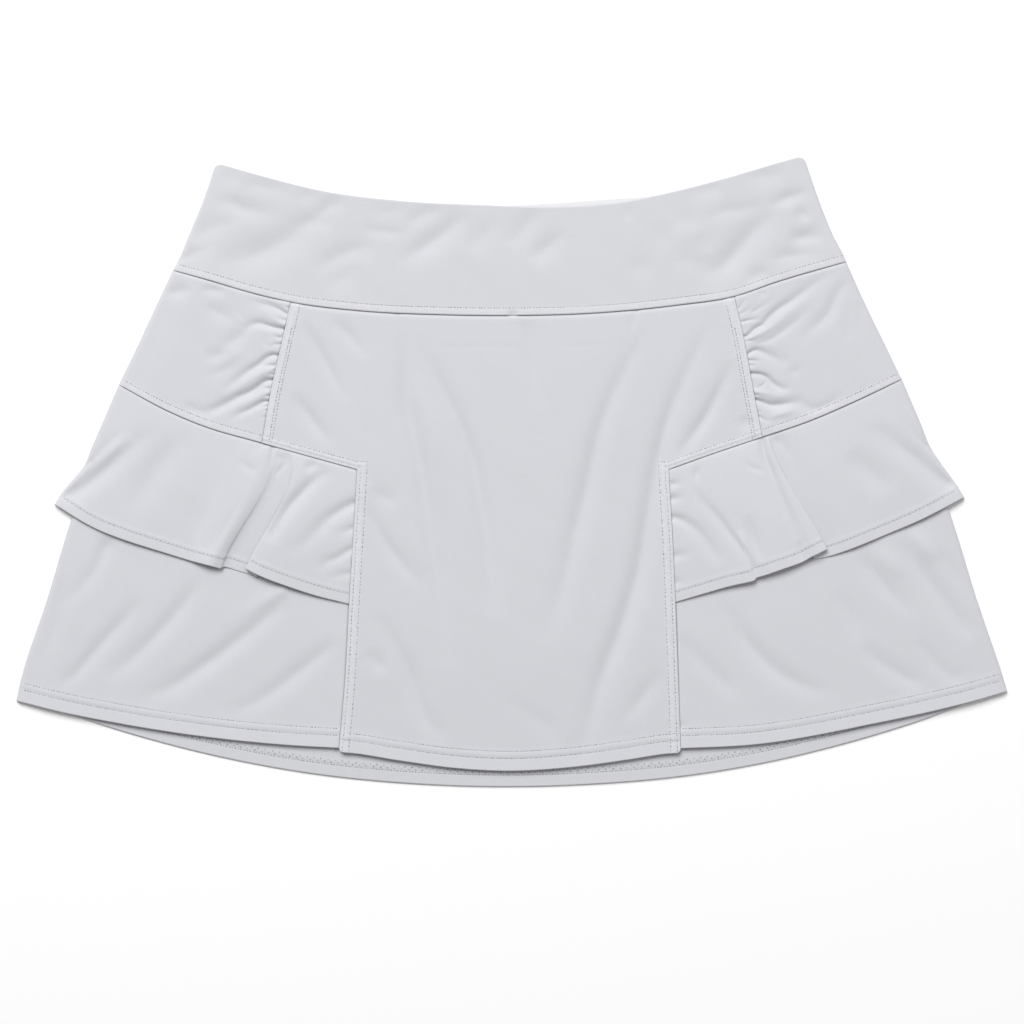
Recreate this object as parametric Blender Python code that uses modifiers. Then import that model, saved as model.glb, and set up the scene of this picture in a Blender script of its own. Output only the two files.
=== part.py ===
"""A tennis skirt laid flat on its back: a wide waistband, a centre panel with stepped sides, a
gathered yoke on each hip, and at each side a flounce over a lower panel.

The floor is z = 0. +X runs across the skirt and +Y towards the waist, and the origin is on the
floor under the middle of the outline. Left is -X, for someone who looks down on the front.
Sizes are in millimetres, and MM turns them into metres as each mesh is made.
A point of the plan is a complex number, x + 1j * y.
"""

import math
from collections import namedtuple

import bmesh
import bpy
import numpy as np

MM = 0.001

# Cloth, and the gaps between pieces
CLOTH = 1.0  # wall of a single knit
BAND_CLOTH = 1.6  # wall of the waistband, which is double
SEAM_GAP = 0.36  # between two pieces that meet at a seam, in plan
LAYER_GAP = 0.7  # between the lower panel and the flounce on it

# Heights of the upper surfaces over the floor
UPPER_CROWN = 5.0  # waistband, yokes and centre panel
LOWER_CROWN = 3.6  # lower panels, where the flounce covers them
FLOUNCE_CROWN = LOWER_CROWN + LAYER_GAP + CLOTH
HEM_RISE = 1.2  # what a lower panel gains between the flounce's hem and its own
HEM_RISE_RUN = 30.0

# The folded sides, where the front rounds down to the floor beside the back
SIDE_STAND = 0.8
SIDE_ROLL = 4.0
SIDE_ROLL_SHARE = 0.72  # of the crown, reached over the roll
SIDE_SHOULDER = 24.0
ROLL_STEPS = 3

CORNER_RADIUS = 7.0  # top corners of the waistband
PUFF = 0.7  # how far a yoke swells along its gathered seam
PUFF_RUN = 7.0

# Lines across the skirt: x, y
WAIST_FRONT = ((-190, 196), (-158, 186.7), (-114, 176), (-70, 170.6), (-20, 168), (30, 166.8),
               (68, 169.6), (91, 174), (130, 183.7), (168, 194.8), (188, 200.5))
WAIST_BACK = ((-186, 193), (-114, 175), (-20, 167.4), (5, 168.2), (30, 169.6), (55, 171.5),
              (91, 174.2), (150, 187.5), (186, 198))
WAIST_SEAM = ((-214, 127.4), (-188.6, 120.3), (-166, 113.6), (-138.4, 107), (-95, 101.5),
              (-45, 99.1), (5, 98.6), (50, 100), (105.5, 105.3), (139.3, 110.5), (166, 119.6),
              (212, 133))
YOKE_SEAM_LEFT = ((-248, 56.2), (-215.6, 38.8), (-196, 30.4), (-156.6, 18.7), (-96.8, 2))
YOKE_SEAM_RIGHT = ((98, 2), (125.4, 11.8), (156.9, 22.4), (188.2, 33.2), (214.6, 44.6), (247, 60))
FRONT_HEM = ((-312, -142.6), (-281, -150.2), (-253, -155.8), (-195.5, -165), (-138, -170.8),
             (-109, -173), (-70, -180.3), (-4, -186.8), (55, -182), (106, -174.6),
             (151, -171), (225, -157.6), (288, -143.4), (312, -136.6))
BACK_HEM = ((-310, -141.5), (-281, -150.6), (-233, -165.4), (-183, -178.1), (-133, -187.5),
            (-70, -194.4), (0, -196.9), (55, -195), (105, -190.6), (155.6, -182.5),
            (206, -170.6), (256, -155.5), (288, -144), (310, -136.5))

# Lines down the skirt: x, y
BAND_SIDE_LEFT = ((-186.5, 190.5), (-193.3, 171), (-203.9, 146), (-207.6, 137), (-212.8, 127))
BAND_SIDE_RIGHT = ((184.6, 193), (192.5, 171), (203.2, 146), (207.4, 138.4), (210, 132.4))
YOKE_SIDE_LEFT = ((-212.8, 127), (-221.6, 108.4), (-233.2, 83.3), (-242.2, 64.5), (-246.6, 55.3))
YOKE_SIDE_RIGHT = ((210, 132.4), (220.7, 108.4), (232.9, 83.3), (242, 64.5), (244.8, 58.9))
GATHER_LEFT = ((-138.4, 107), (-144.7, 79.6), (-151, 51.4), (-156.6, 18.7))
GATHER_RIGHT = ((139.3, 110.5), (144.3, 89.6), (149.8, 60.4), (156.9, 22.4))
PANEL_SIDE_LEFT = ((-97, 2), (-99.6, -42.7), (-102, -82.2), (-104.6, -130), (-108.4, -173))
PANEL_SIDE_RIGHT = ((98.4, 2), (101, -43.6), (102.6, -81), (104.4, -130), (106, -174.6))
FLOUNCE_SIDE_LEFT = ((-246.8, 55), (-256.2, 33.2), (-264.3, 14.4), (-268.5, 4.3),
                     (-275.9, -4.5), (-281.2, -10.7), (-287, -19.6))
FLOUNCE_SIDE_RIGHT = ((245, 58.6), (255.8, 33.2), (263.9, 14.4), (268.1, 8.1),
                      (277.2, -4.5), (281.4, -10.7), (284, -15.2))
LOWER_SIDE_LEFT = ((-245.3, 54.5), (-260.8, 14), (-276.6, -29.5), (-291.8, -79.7),
                   (-308.2, -130), (-311, -142.6))
LOWER_SIDE_RIGHT = ((243.5, 58.4), (259.4, 16), (274.6, -24), (292, -79.7), (308.9, -130),
                    (311, -137))
BACK_INSET = 2.1  # from the outline of the front to the side of the back panel
BAND_INSET = 2.8  # the same at the waistband, whose wall is thicker

# How a flounce runs from its seam to its hem, from the skirt's side to the centre panel. lift is
# over the lower panel at the hem, and a bend over 1 keeps the line near its upper end longer.
Wave = namedtuple("Wave", "x_seam x_hem y_hem lift bend")
FLOUNCE_LEFT = (
    Wave(-246.8, -287.0, -19.6, 0.0, 1.0),
    Wave(-222.0, -243.0, -42.0, 2.6, 1.2),
    Wave(-196.0, -216.0, -50.5, 1.4, 1.3),
    Wave(-170.0, -197.0, -55.4, 4.4, 1.5),
    Wave(-156.0, -185.8, -58.8, 5.8, 1.6),  # shoulder of the outer lobe
    Wave(-151.6, -181.4, -60.0, 4.2, 1.65),  # its edge
    Wave(-149.0, -180.4, -59.6, 1.2, 1.65),  # its foot
    Wave(-144.6, -173.6, -61.4, 0.0, 1.6),
    Wave(-140.4, -167.2, -63.0, 1.2, 1.5),  # foot of the inner lobe
    Wave(-138.0, -166.6, -60.6, 4.2, 1.5),  # its edge
    Wave(-134.4, -162.2, -62.0, 5.6, 1.45),  # its shoulder
    Wave(-126.0, -147.0, -68.8, 5.4, 1.3),
    Wave(-112.0, -124.0, -76.4, 2.6, 1.1),
    Wave(-97.0, -102.0, -82.2, 0.2, 1.0),
)
FLOUNCE_RIGHT = (
    Wave(245.0, 284.0, -15.2, 0.0, 1.0),
    Wave(226.0, 258.0, -28.6, 2.4, 1.1),
    Wave(206.0, 236.0, -38.2, 1.0, 1.1),
    Wave(188.0, 217.0, -46.2, 2.6, 1.1),
    Wave(171.0, 202.4, -51.4, 0.3, 1.1),
    Wave(163.4, 197.2, -52.6, 1.2, 1.15),  # foot of the lobe
    Wave(160.4, 197.0, -48.8, 4.2, 1.15),  # its edge
    Wave(156.6, 192.6, -50.8, 5.8, 1.15),  # its shoulder
    Wave(149.0, 180.0, -56.6, 6.0, 1.1),
    Wave(137.0, 162.0, -63.2, 3.4, 1.1),
    Wave(126.0, 148.0, -67.8, 3.6, 1.0),
    Wave(112.0, 124.0, -75.0, 1.4, 1.0),
    Wave(98.4, 102.6, -81.0, 0.2, 1.0),
)
LIFT_BEND = 0.9  # a wave's height over the way from the seam to the hem

# A trough (height under 0) or ridge of the cloth along a path. start and end are half widths
# there. A rooted one is as deep at its start as anywhere, and fades to its end.
Fold = namedtuple("Fold", "height start end rooted path")
FOLDS = (
    # waistband
    Fold(-0.6, 7, 9, False, ((-6, 170), (-34, 152), (-62, 134))),
    Fold(0.5, 8, 9, False, ((14, 168), (-10, 148), (-30, 122))),
    Fold(-0.5, 7, 8, False, ((-88, 168), (-112, 152), (-134, 134))),
    Fold(-0.6, 7, 9, False, ((176, 172), (158, 146), (136, 118))),
    Fold(0.5, 7, 8, False, ((-176, 178), (-150, 164), (-118, 158))),
    # centre panel, fanning in towards the middle of the hem
    Fold(-0.6, 6, 8, False, ((-138, 96), (-124, 66), (-108, 40))),
    Fold(-0.7, 6, 9, False, ((-70, 96), (-66, 38), (-48, -50), (-38, -76))),
    Fold(-0.8, 7, 10, False, ((-62, 82), (-34, 32), (-20, -36))),
    Fold(-0.6, 7, 9, False, ((-90, -16), (-74, -44), (-58, -66))),
    Fold(0.6, 8, 10, False, ((14, 64), (28, 24), (34, -10))),
    Fold(-0.8, 7, 10, False, ((86, 92), (62, 36), (38, -32), (14, -90))),
    Fold(-0.8, 8, 11, False, ((114, 78), (88, 8), (70, -56), (38, -116), (14, -146))),
    Fold(-0.5, 6, 8, False, ((132, 58), (122, 36), (112, 16))),
    # lower panels, fanning out towards the sides
    Fold(-0.7, 8, 11, False, ((-238, -40), (-258, -84), (-276, -124))),
    Fold(-0.8, 8, 11, False, ((-176, -62), (-206, -92), (-240, -128))),
    Fold(-0.7, 8, 11, False, ((-144, -76), (-176, -102), (-214, -134))),
    Fold(0.6, 8, 10, False, ((-118, -90), (-140, -120), (-168, -146))),
    Fold(-0.7, 8, 11, False, ((112, -74), (136, -96), (168, -124))),
    Fold(-0.8, 8, 11, False, ((156, -62), (180, -86), (210, -116))),
    Fold(-0.7, 8, 11, False, ((208, -50), (232, -72), (262, -104))),
    Fold(0.6, 8, 10, False, ((244, -44), (268, -78), (290, -116))),
)
GATHERS_LEFT = (
    Fold(-1.0, 1.5, 2.6, True, ((-138, 101), (-143, 103), (-150, 108))),
    Fold(-1.2, 1.5, 3.5, True, ((-140, 95.4), (-153, 99.6), (-168, 109))),
    Fold(-1.4, 1.6, 5.0, True, ((-141, 89.4), (-152, 92.7), (-160, 93), (-178, 83))),
    Fold(-0.9, 1.4, 2.2, True, ((-143, 84.4), (-150, 88))),
    Fold(-1.0, 1.5, 2.6, True, ((-144, 80), (-153, 78))),
    Fold(-1.7, 1.6, 5.0, True, ((-145, 75), (-159, 67), (-169, 60.8), (-184, 51))),
    Fold(-1.0, 1.4, 2.4, True, ((-147, 67.4), (-158, 65.6))),
    Fold(-0.8, 1.3, 1.8, True, ((-148, 62.8), (-154, 62))),
    Fold(-1.8, 1.6, 5.0, True, ((-149, 57.8), (-156, 56.4), (-177, 43.8), (-202, 34))),
    Fold(-0.9, 1.4, 2.0, True, ((-150, 52.6), (-158, 52.6))),
    Fold(-0.8, 1.3, 1.8, True, ((-151, 47.6), (-157, 46.6))),
    Fold(-1.4, 1.6, 4.0, True, ((-151.6, 42.6), (-160, 41), (-180, 31.6))),
    Fold(-0.8, 1.3, 1.8, True, ((-153, 37.4), (-159, 36))),
    Fold(-0.8, 1.3, 1.8, True, ((-154, 32.8), (-160, 31.4))),
    Fold(-0.7, 8, 12, False, ((-206, 116), (-196, 104), (-178, 92))),
)
GATHERS_RIGHT = (
    Fold(-1.0, 1.5, 2.6, True, ((141, 103), (148, 112))),
    Fold(-1.0, 1.5, 2.6, True, ((142.6, 98), (157, 107))),
    Fold(-1.0, 1.5, 2.6, True, ((143.4, 93), (157, 96.4))),
    Fold(-1.6, 1.6, 5.5, True, ((144.6, 84.8), (151, 88.4), (174, 103.4), (204, 124))),
    Fold(0.7, 1.6, 4.0, True, ((146, 80.6), (162, 89), (186, 103))),
    Fold(-1.5, 1.6, 5.0, True, ((147, 74.8), (153, 77.4), (162, 76), (178, 64))),
    Fold(-0.9, 1.4, 2.0, True, ((148.4, 69.4), (157, 68))),
    Fold(-1.7, 1.6, 4.4, True, ((149.6, 61.8), (157, 62), (176, 49))),
    Fold(-0.9, 1.4, 2.0, True, ((151, 53.6), (157, 53))),
    Fold(-1.6, 1.6, 5.0, True, ((152, 46), (162, 42.4), (184, 44))),
    Fold(-0.8, 1.3, 2.0, True, ((153.4, 40), (158, 38.4))),
    Fold(-0.8, 1.3, 2.0, True, ((154.6, 34.4), (160, 32))),
    Fold(-0.8, 7, 10, False, ((212, 118), (196, 98), (180, 80))),
)
FLOUNCE_FOLDS = (
    Fold(-0.6, 4, 6, False, ((-270, 2), (-258, 12), (-244, 24))),
    Fold(0.6, 6, 9, False, ((-196, 26), (-222, 2), (-250, -26))),
    Fold(-0.6, 4, 6, False, ((268, 8), (256, 16), (244, 28))),
    Fold(0.6, 6, 9, False, ((200, 34), (226, 10), (246, -20))),
)
PATH_STEPS = 8

# What the two sides of the skirt differ in, and which way is out
Side = namedtuple("Side", "name out band yoke gather gathers yoke_seam flounce waves lower panel")
SIDES = (
    Side("left", -1, BAND_SIDE_LEFT, YOKE_SIDE_LEFT, GATHER_LEFT, GATHERS_LEFT, YOKE_SEAM_LEFT,
         FLOUNCE_SIDE_LEFT, FLOUNCE_LEFT, LOWER_SIDE_LEFT, PANEL_SIDE_LEFT),
    Side("right", 1, BAND_SIDE_RIGHT, YOKE_SIDE_RIGHT, GATHER_RIGHT, GATHERS_RIGHT,
         YOKE_SEAM_RIGHT, FLOUNCE_SIDE_RIGHT, FLOUNCE_RIGHT, LOWER_SIDE_RIGHT, PANEL_SIDE_RIGHT),
)

# Rows and columns of the pieces' grids
BAND_GRID = (7, 26)
BACK_BAND_GRID = (4, 24)
BACK_GRID = (8, 24)
YOKE_GRID = (40, 9)
LOWER_GRID = (13, 14)
PANEL_ROWS = (8, 13)  # above the steps of the centre panel's sides, and below
PANEL_COLUMNS = (18, 5)  # in its middle, and in each wing
FLOUNCE_ROWS = 9
FLOUNCE_STEPS = 3  # columns from one wave to the next
YOKE_CROWD = 2.0  # draws the yoke's columns towards its gathers

KNIT_COLOUR = (0.70, 0.705, 0.745, 1.0)
KNIT_ROUGHNESS = 0.85
WELD = 1e-5


def smooth(at, value):
    """A smooth line through values at rising or falling places, as a function of the place."""
    order = np.argsort(at)
    at, value = np.asarray(at, float)[order], np.asarray(value, float)[order]
    slope = np.gradient(value, at)

    def read(place):
        place = np.clip(place, at[0], at[-1])
        i = np.clip(np.searchsorted(at, place) - 1, 0, len(at) - 2)
        step = at[i + 1] - at[i]
        t = (place - at[i]) / step
        values = (1 + 2 * t) * (1 - t) ** 2 * value[i] + t * t * (3 - 2 * t) * value[i + 1]
        return values + step * t * (1 - t) * ((1 - t) * slope[i] - t * slope[i + 1])

    return read


def y_of(knots, shift=0.0):
    """A line across the skirt: y as a function of x."""
    line = smooth(*zip(*knots))
    return lambda x: line(x) + shift


def x_of(knots, shift=0.0):
    """A line down the skirt: x as a function of y."""
    line = smooth(*reversed(list(zip(*knots))))
    return lambda y: line(y) + shift


def across(line, start, end):
    """The stretch of a line across from x = start to end, for t from 0 to 1."""

    def read(t):
        x = start + (end - start) * np.asarray(t)
        return x + 1j * line(x)

    return read


def down(line, start, end):
    """The stretch of a line down from y = start to end, for t from 0 to 1."""

    def read(t):
        y = start + (end - start) * np.asarray(t)
        return line(y) + 1j * y

    return read


def straight(start, end):
    return lambda t: start + (end - start) * np.asarray(t)


def between(top, bottom, first, last, t, v):
    """Points inside four edges: t runs from the first to the last and v from top to bottom."""
    corners = (1 - v) * ((1 - t) * top(0) + t * top(1)) + v * ((1 - t) * bottom(0) + t * bottom(1))
    return (1 - v) * top(t) + v * bottom(t) + (1 - t) * first(v) + t * last(v) - corners


def rows_of(count):
    return np.linspace(0, 1, count + 1)[:, None]


def columns_of(count):
    return np.linspace(0, 1, count + 1)[None, :]


def ease(t):
    t = np.clip(t, 0, 1)
    return t * t * (3 - 2 * t)


def side_rise(inward):
    """Share of its crown that the front reaches at a distance in from its folded side."""
    roll = np.sqrt(1 - (1 - np.clip(inward / SIDE_ROLL, 0, 1)) ** 2)
    return SIDE_ROLL_SHARE * roll + (1 - SIDE_ROLL_SHARE) * ease(inward / SIDE_SHOULDER)


def front_height(inward, crown, relief):
    """Height of the front, whose first column stands on the floor at the folded side."""
    height = SIDE_STAND + (crown - SIDE_STAND + relief) * side_rise(inward)
    height[:, 0] = 0
    return height


def side_columns(width, count, crowd=1.0):
    """Distances in from a folded side, for rows of these widths: a standing step, the roll, and
    count steps from it to the far edge, closer together there where crowd is over 1."""
    roll = SIDE_ROLL * (1 - np.cos(np.linspace(0, math.pi / 2, ROLL_STEPS + 1)))
    steps = 1 - (1 - np.linspace(0, 1, count + 1)[1:]) ** crowd
    start = np.broadcast_to(np.append(0, roll), (len(width), ROLL_STEPS + 2))
    return np.hstack([start, SIDE_ROLL + (width - SIDE_ROLL) * steps])


def fold_height(plan, fold):
    """What one fold adds to the height of the cloth at points of the plan."""
    knots = np.array([complex(*point) for point in fold.path])
    index = np.arange(len(knots))
    place = np.linspace(0, len(knots) - 1, PATH_STEPS + 1)
    path = smooth(index, knots.real)(place) + 1j * smooth(index, knots.imag)(place)
    nearest = np.full(plan.shape, np.inf)
    along = np.zeros(plan.shape)
    for step, (start, end) in enumerate(zip(path, path[1:])):
        run = end - start
        share = np.clip(((plan - start) * run.conjugate()).real / abs(run) ** 2, 0, 1)
        gap = abs(plan - start - share * run)
        along = np.where(gap < nearest, (step + share) / PATH_STEPS, along)
        nearest = np.minimum(nearest, gap)
    half_width = fold.start + (fold.end - fold.start) * along
    fade = 1 - ease(along) if fold.rooted else np.sqrt(np.sin(math.pi * along.clip(0, 1)).clip(0))
    return fold.height * fade * np.exp(-((nearest / half_width) ** 2))


def folds_height(plan, folds):
    return sum(fold_height(plan, fold) for fold in folds)


def knit(name):
    material = bpy.data.materials.new(name)
    material.use_nodes = True
    shader = material.node_tree.nodes["Principled BSDF"]
    shader.inputs["Base Color"].default_value = KNIT_COLOUR
    shader.inputs["Roughness"].default_value = KNIT_ROUGHNESS
    shader.inputs["Metallic"].default_value = 0.0
    return material


def sewn_piece(name, patches, wall=CLOTH):
    """An object whose upper surface is made of patches, each a grid of plan points and one of
    heights, with rows from the waist down and columns from the left. It thickens inwards."""
    shape = bmesh.new()
    for plan, height in patches:
        rows = [
            [shape.verts.new((p.real * MM, p.imag * MM, z * MM)) for p, z in zip(points, heights)]
            for points, heights in zip(plan, height)
        ]
        for upper, lower in zip(rows, rows[1:]):
            for corners in zip(upper, lower, lower[1:], upper[1:]):
                shape.faces.new(corners).smooth = True
    bmesh.ops.remove_doubles(shape, verts=shape.verts, dist=WELD)
    for edge in shape.edges:
        edge.smooth = not edge.is_boundary
    mesh = bpy.data.meshes.new(name)
    shape.to_mesh(mesh)
    shape.free()
    mesh.materials.append(knit(name))
    piece = bpy.data.objects.new(name, mesh)
    thickness = piece.modifiers.new("wall", "SOLIDIFY")
    thickness.thickness = wall * MM
    thickness.offset = -1.0
    return piece


def from_left(side, *parts):
    """A patch is made from the skirt's side inwards, and one on the right is turned round."""
    return parts if side.out < 0 else tuple(part[:, ::-1] for part in parts)


def waistband_front():
    starts, ends = zip(*((side.band[0][0], side.band[-1][0]) for side in SIDES))
    top = y_of(WAIST_FRONT)

    def rounded_top(t):
        line = across(top, *starts)(t)
        inward = np.minimum(line.real - starts[0], starts[1] - line.real)
        short = np.clip(1 - inward / CORNER_RADIUS, 0, 1)
        return line - 1j * CORNER_RADIUS * (1 - np.sqrt(1 - short**2))

    bottom = across(y_of(WAIST_SEAM, SEAM_GAP / 2), *ends)
    left, right = (
        down(x_of(side.band), rounded_top(end).imag, bottom(end).imag)
        for end, side in enumerate(SIDES)
    )
    v = rows_of(BAND_GRID[0])
    width = (right(v) - left(v)).real
    half = side_columns(width / 2, BAND_GRID[1] // 2)
    inward = np.hstack([half, half[:, -2::-1]])
    t = np.hstack([half / width, 1 - half[:, -2::-1] / width])
    plan = between(rounded_top, bottom, left, right, t, v)
    height = front_height(inward, UPPER_CROWN, folds_height(plan, FOLDS))
    height[:, -1] = 0
    return sewn_piece("waistband_front", [(plan, height)], BAND_CLOTH)


def back_piece(name, top_line, bottom_line, sides, shape, wall):
    """A piece that lies flat on the floor under the front. sides are its lines down."""
    top = across(top_line, sides[0][0][0], sides[1][0][0])
    bottom = across(bottom_line, sides[0][-1][0], sides[1][-1][0])
    left, right = (
        down(x_of(knots), top(end).imag, bottom(end).imag) for end, knots in enumerate(sides)
    )
    plan = between(top, bottom, left, right, columns_of(shape[1]), rows_of(shape[0]))
    return sewn_piece(name, [(plan, np.full(plan.shape, wall))], wall)


def inset(side, knots, distance):
    """A line down, moved in from the skirt's side."""
    return [(x - side.out * distance, y) for x, y in knots]


def waistband_back():
    sides = [inset(side, side.band, BAND_INSET) for side in SIDES]
    bottom = y_of(WAIST_SEAM, SEAM_GAP / 2)
    return back_piece("waistband_back", y_of(WAIST_BACK), bottom, sides, BACK_BAND_GRID, BAND_CLOTH)


def back_panel():
    sides = [inset(side, side.yoke[:-1] + side.lower, BACK_INSET) for side in SIDES]
    top = y_of(WAIST_SEAM, -SEAM_GAP / 2)
    return back_piece("back_panel", top, y_of(BACK_HEM), sides, BACK_GRID, CLOTH)


def yoke(side):
    half_gap = side.out * SEAM_GAP / 2
    top_line = y_of(WAIST_SEAM, -SEAM_GAP / 2)
    bottom_line = y_of(side.yoke_seam, SEAM_GAP / 2)
    top = across(top_line, side.yoke[0][0], side.gather[0][0] + half_gap)
    bottom = across(bottom_line, side.yoke[-1][0], side.gather[-1][0] + half_gap)
    outer = down(x_of(side.yoke), top(0).imag, bottom(0).imag)
    inner = down(x_of(side.gather, half_gap), top(1).imag, bottom(1).imag)
    v = rows_of(YOKE_GRID[0])
    width = abs(inner(v) - outer(v))
    inward = side_columns(width, YOKE_GRID[1], YOKE_CROWD)
    plan = between(top, bottom, outer, inner, inward / width, v)
    swell = PUFF * np.exp(-(((width - inward) / PUFF_RUN) ** 2))
    height = front_height(inward, UPPER_CROWN, folds_height(plan, side.gathers) + swell)
    return sewn_piece("yoke_" + side.name, [from_left(side, plan, height)])


def hem_rise(plan, waves):
    """How far a lower panel rises once it has left the flounce's hem behind."""
    hem = smooth([wave.x_hem for wave in waves], [wave.y_hem for wave in waves])
    return HEM_RISE * ease((hem(plan.real) - plan.imag) / HEM_RISE_RUN)


def lower_panel(side):
    half_gap = side.out * SEAM_GAP / 2
    top_line = y_of(side.yoke_seam, -SEAM_GAP)
    top = across(top_line, side.lower[0][0], side.panel[0][0] + half_gap)
    bottom = across(y_of(FRONT_HEM), side.lower[-1][0], side.panel[-1][0] + half_gap)
    outer = down(x_of(side.lower), top(0).imag, bottom(0).imag)
    inner = down(x_of(side.panel, half_gap), top(1).imag, bottom(1).imag)
    v = rows_of(LOWER_GRID[0])
    width = abs(inner(v) - outer(v))
    inward = side_columns(width, LOWER_GRID[1])
    plan = between(top, bottom, outer, inner, inward / width, v)
    relief = folds_height(plan, FOLDS) + hem_rise(plan, side.waves)
    height = front_height(inward, LOWER_CROWN, relief)
    return sewn_piece("lower_panel_" + side.name, [from_left(side, plan, height)])


def flounce(side):
    """The flounce is laid through its waves, each a line from the yoke seam to the hem, and its
    first and last lines are then drawn onto the skirt's side and the centre panel's."""
    seam = y_of(side.yoke_seam, -SEAM_GAP / 2)
    v = rows_of(FLOUNCE_ROWS)
    last = len(side.waves) - 1
    waves = (smooth(range(last + 1), column) for column in zip(*side.waves))
    x_seam, x_hem, y_hem, lift, bend = waves

    def at(place):
        """The plan at places counted in waves from the skirt's side."""
        x = x_seam(place) + (x_hem(place) - x_seam(place)) * v ** bend(place)
        y_seam = seam(x_seam(place))
        return x + 1j * (y_seam + (y_hem(place) - y_seam) * v)

    ends = [(knots[0][0], wave.y_hem) for knots, wave in
            ((side.flounce, side.waves[0]), (side.panel, side.waves[-1]))]
    outer = down(x_of(side.flounce), seam(ends[0][0]), ends[0][1])(v)
    inner_line = x_of(side.panel, side.out * SEAM_GAP / 2)
    inner = down(inner_line, seam(ends[1][0]), ends[1][1])(v)
    first_width = abs(at(np.full((1, 1), 1.0)) - outer)
    steps = np.linspace(1, last, (last - 1) * FLOUNCE_STEPS + 1)[1:]
    place = np.hstack([
        side_columns(first_width, FLOUNCE_STEPS) / first_width,
        np.broadcast_to(steps, (len(v), len(steps))),
    ])
    plan = at(place)
    plan += (outer - at(np.zeros((1, 1)))) * np.clip(1 - place, 0, 1)
    plan += (inner - at(np.full((1, 1), float(last)))) * np.clip(place - last + 1, 0, 1)
    relief = folds_height(plan, FOLDS + FLOUNCE_FOLDS) + lift(place) * v**LIFT_BEND
    height = front_height(abs(plan - outer), FLOUNCE_CROWN, relief)
    return sewn_piece("flounce_" + side.name, [from_left(side, plan, height)])


def panel_wing(side):
    """The wing between the gathered seam and the step, and the lines down above and below the
    step's corner."""
    half_gap = side.out * SEAM_GAP / 2
    top_line = y_of(WAIST_SEAM, -SEAM_GAP / 2)
    step_line = y_of(side.yoke_seam, SEAM_GAP / 2)
    corner_x = side.panel[0][0] - half_gap
    corner = complex(corner_x, step_line(corner_x))
    above = straight(complex(corner_x, top_line(corner_x)), corner)
    below = down(x_of(side.panel, -half_gap), corner.imag, y_of(FRONT_HEM)(side.panel[-1][0]))
    top = across(top_line, side.gather[0][0] - half_gap, corner_x)
    bottom = across(step_line, side.gather[-1][0] - half_gap, corner_x)
    outer = down(x_of(side.gather, -half_gap), top(0).imag, bottom(0).imag)
    v, t = rows_of(PANEL_ROWS[0]), columns_of(PANEL_COLUMNS[1])
    wing = between(top, bottom, outer, above, t, v)
    return from_left(side, wing)[0], above, below


def centre_panel():
    """Two wings, the middle between them and the middle below their steps."""
    (left_wing, *left), (right_wing, *right) = (panel_wing(side) for side in SIDES)
    top_line = y_of(WAIST_SEAM, -SEAM_GAP / 2)
    waist = across(top_line, left[0](0).real, right[0](0).real)
    level = straight(left[0](1), right[0](1))
    hem = across(y_of(FRONT_HEM), left[1](1).real, right[1](1).real)
    t = columns_of(PANEL_COLUMNS[0])
    plans = (
        left_wing,
        right_wing,
        between(waist, level, left[0], right[0], t, rows_of(PANEL_ROWS[0])),
        between(level, hem, left[1], right[1], t, rows_of(PANEL_ROWS[1])),
    )
    patches = [(plan, UPPER_CROWN + folds_height(plan, FOLDS)) for plan in plans]
    return sewn_piece("centre_panel", patches)


def main():
    for thing in list(bpy.data.objects):
        bpy.data.objects.remove(thing)
    skirt = bpy.data.collections.new("tennis_skirt")
    bpy.context.scene.collection.children.link(skirt)
    pieces = [waistband_front(), waistband_back(), back_panel(), centre_panel()]
    for side in SIDES:
        pieces += [yoke(side), lower_panel(side), flounce(side)]
    for piece in pieces:
        skirt.objects.link(piece)


main()
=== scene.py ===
"""A tennis skirt laid flat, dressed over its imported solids: thin knit sheets with their creases,
gathers and overlapping flounces, the seam allowances and hems that show through, and all the
stitching. Plan sizes are in millimetres, in the frame of the solids, and MM turns them to metres.
A point of the plan is a complex number, x + 1j * y, with +Y towards the waist and -X to the left.
"""

import math
from collections import namedtuple

import bmesh
import bpy
import numpy as np
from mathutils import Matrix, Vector
from mathutils.bvhtree import BVHTree


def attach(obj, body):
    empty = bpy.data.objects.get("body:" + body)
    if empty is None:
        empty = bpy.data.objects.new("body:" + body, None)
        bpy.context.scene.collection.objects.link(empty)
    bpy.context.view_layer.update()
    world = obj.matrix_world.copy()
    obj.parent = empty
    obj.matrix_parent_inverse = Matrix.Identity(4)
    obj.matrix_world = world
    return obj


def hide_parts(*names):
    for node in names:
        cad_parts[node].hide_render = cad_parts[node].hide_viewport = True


bl_info = {
    "name": "Tennis skirt",
    "version": (1, 0, 0),
    "blender": (4, 5, 0),
    "location": "3D View > Sidebar > Skirt",
    "description": "Makes the sewn pieces, the stitching and the studio of a skirt laid flat",
    "category": "Object",
}

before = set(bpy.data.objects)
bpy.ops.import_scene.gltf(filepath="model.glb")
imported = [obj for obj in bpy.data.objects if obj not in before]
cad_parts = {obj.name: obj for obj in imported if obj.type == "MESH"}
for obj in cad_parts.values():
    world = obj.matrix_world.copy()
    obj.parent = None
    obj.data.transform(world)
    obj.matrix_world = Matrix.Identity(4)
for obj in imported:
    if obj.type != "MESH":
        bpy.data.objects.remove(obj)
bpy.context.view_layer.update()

MM = 0.001

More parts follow.
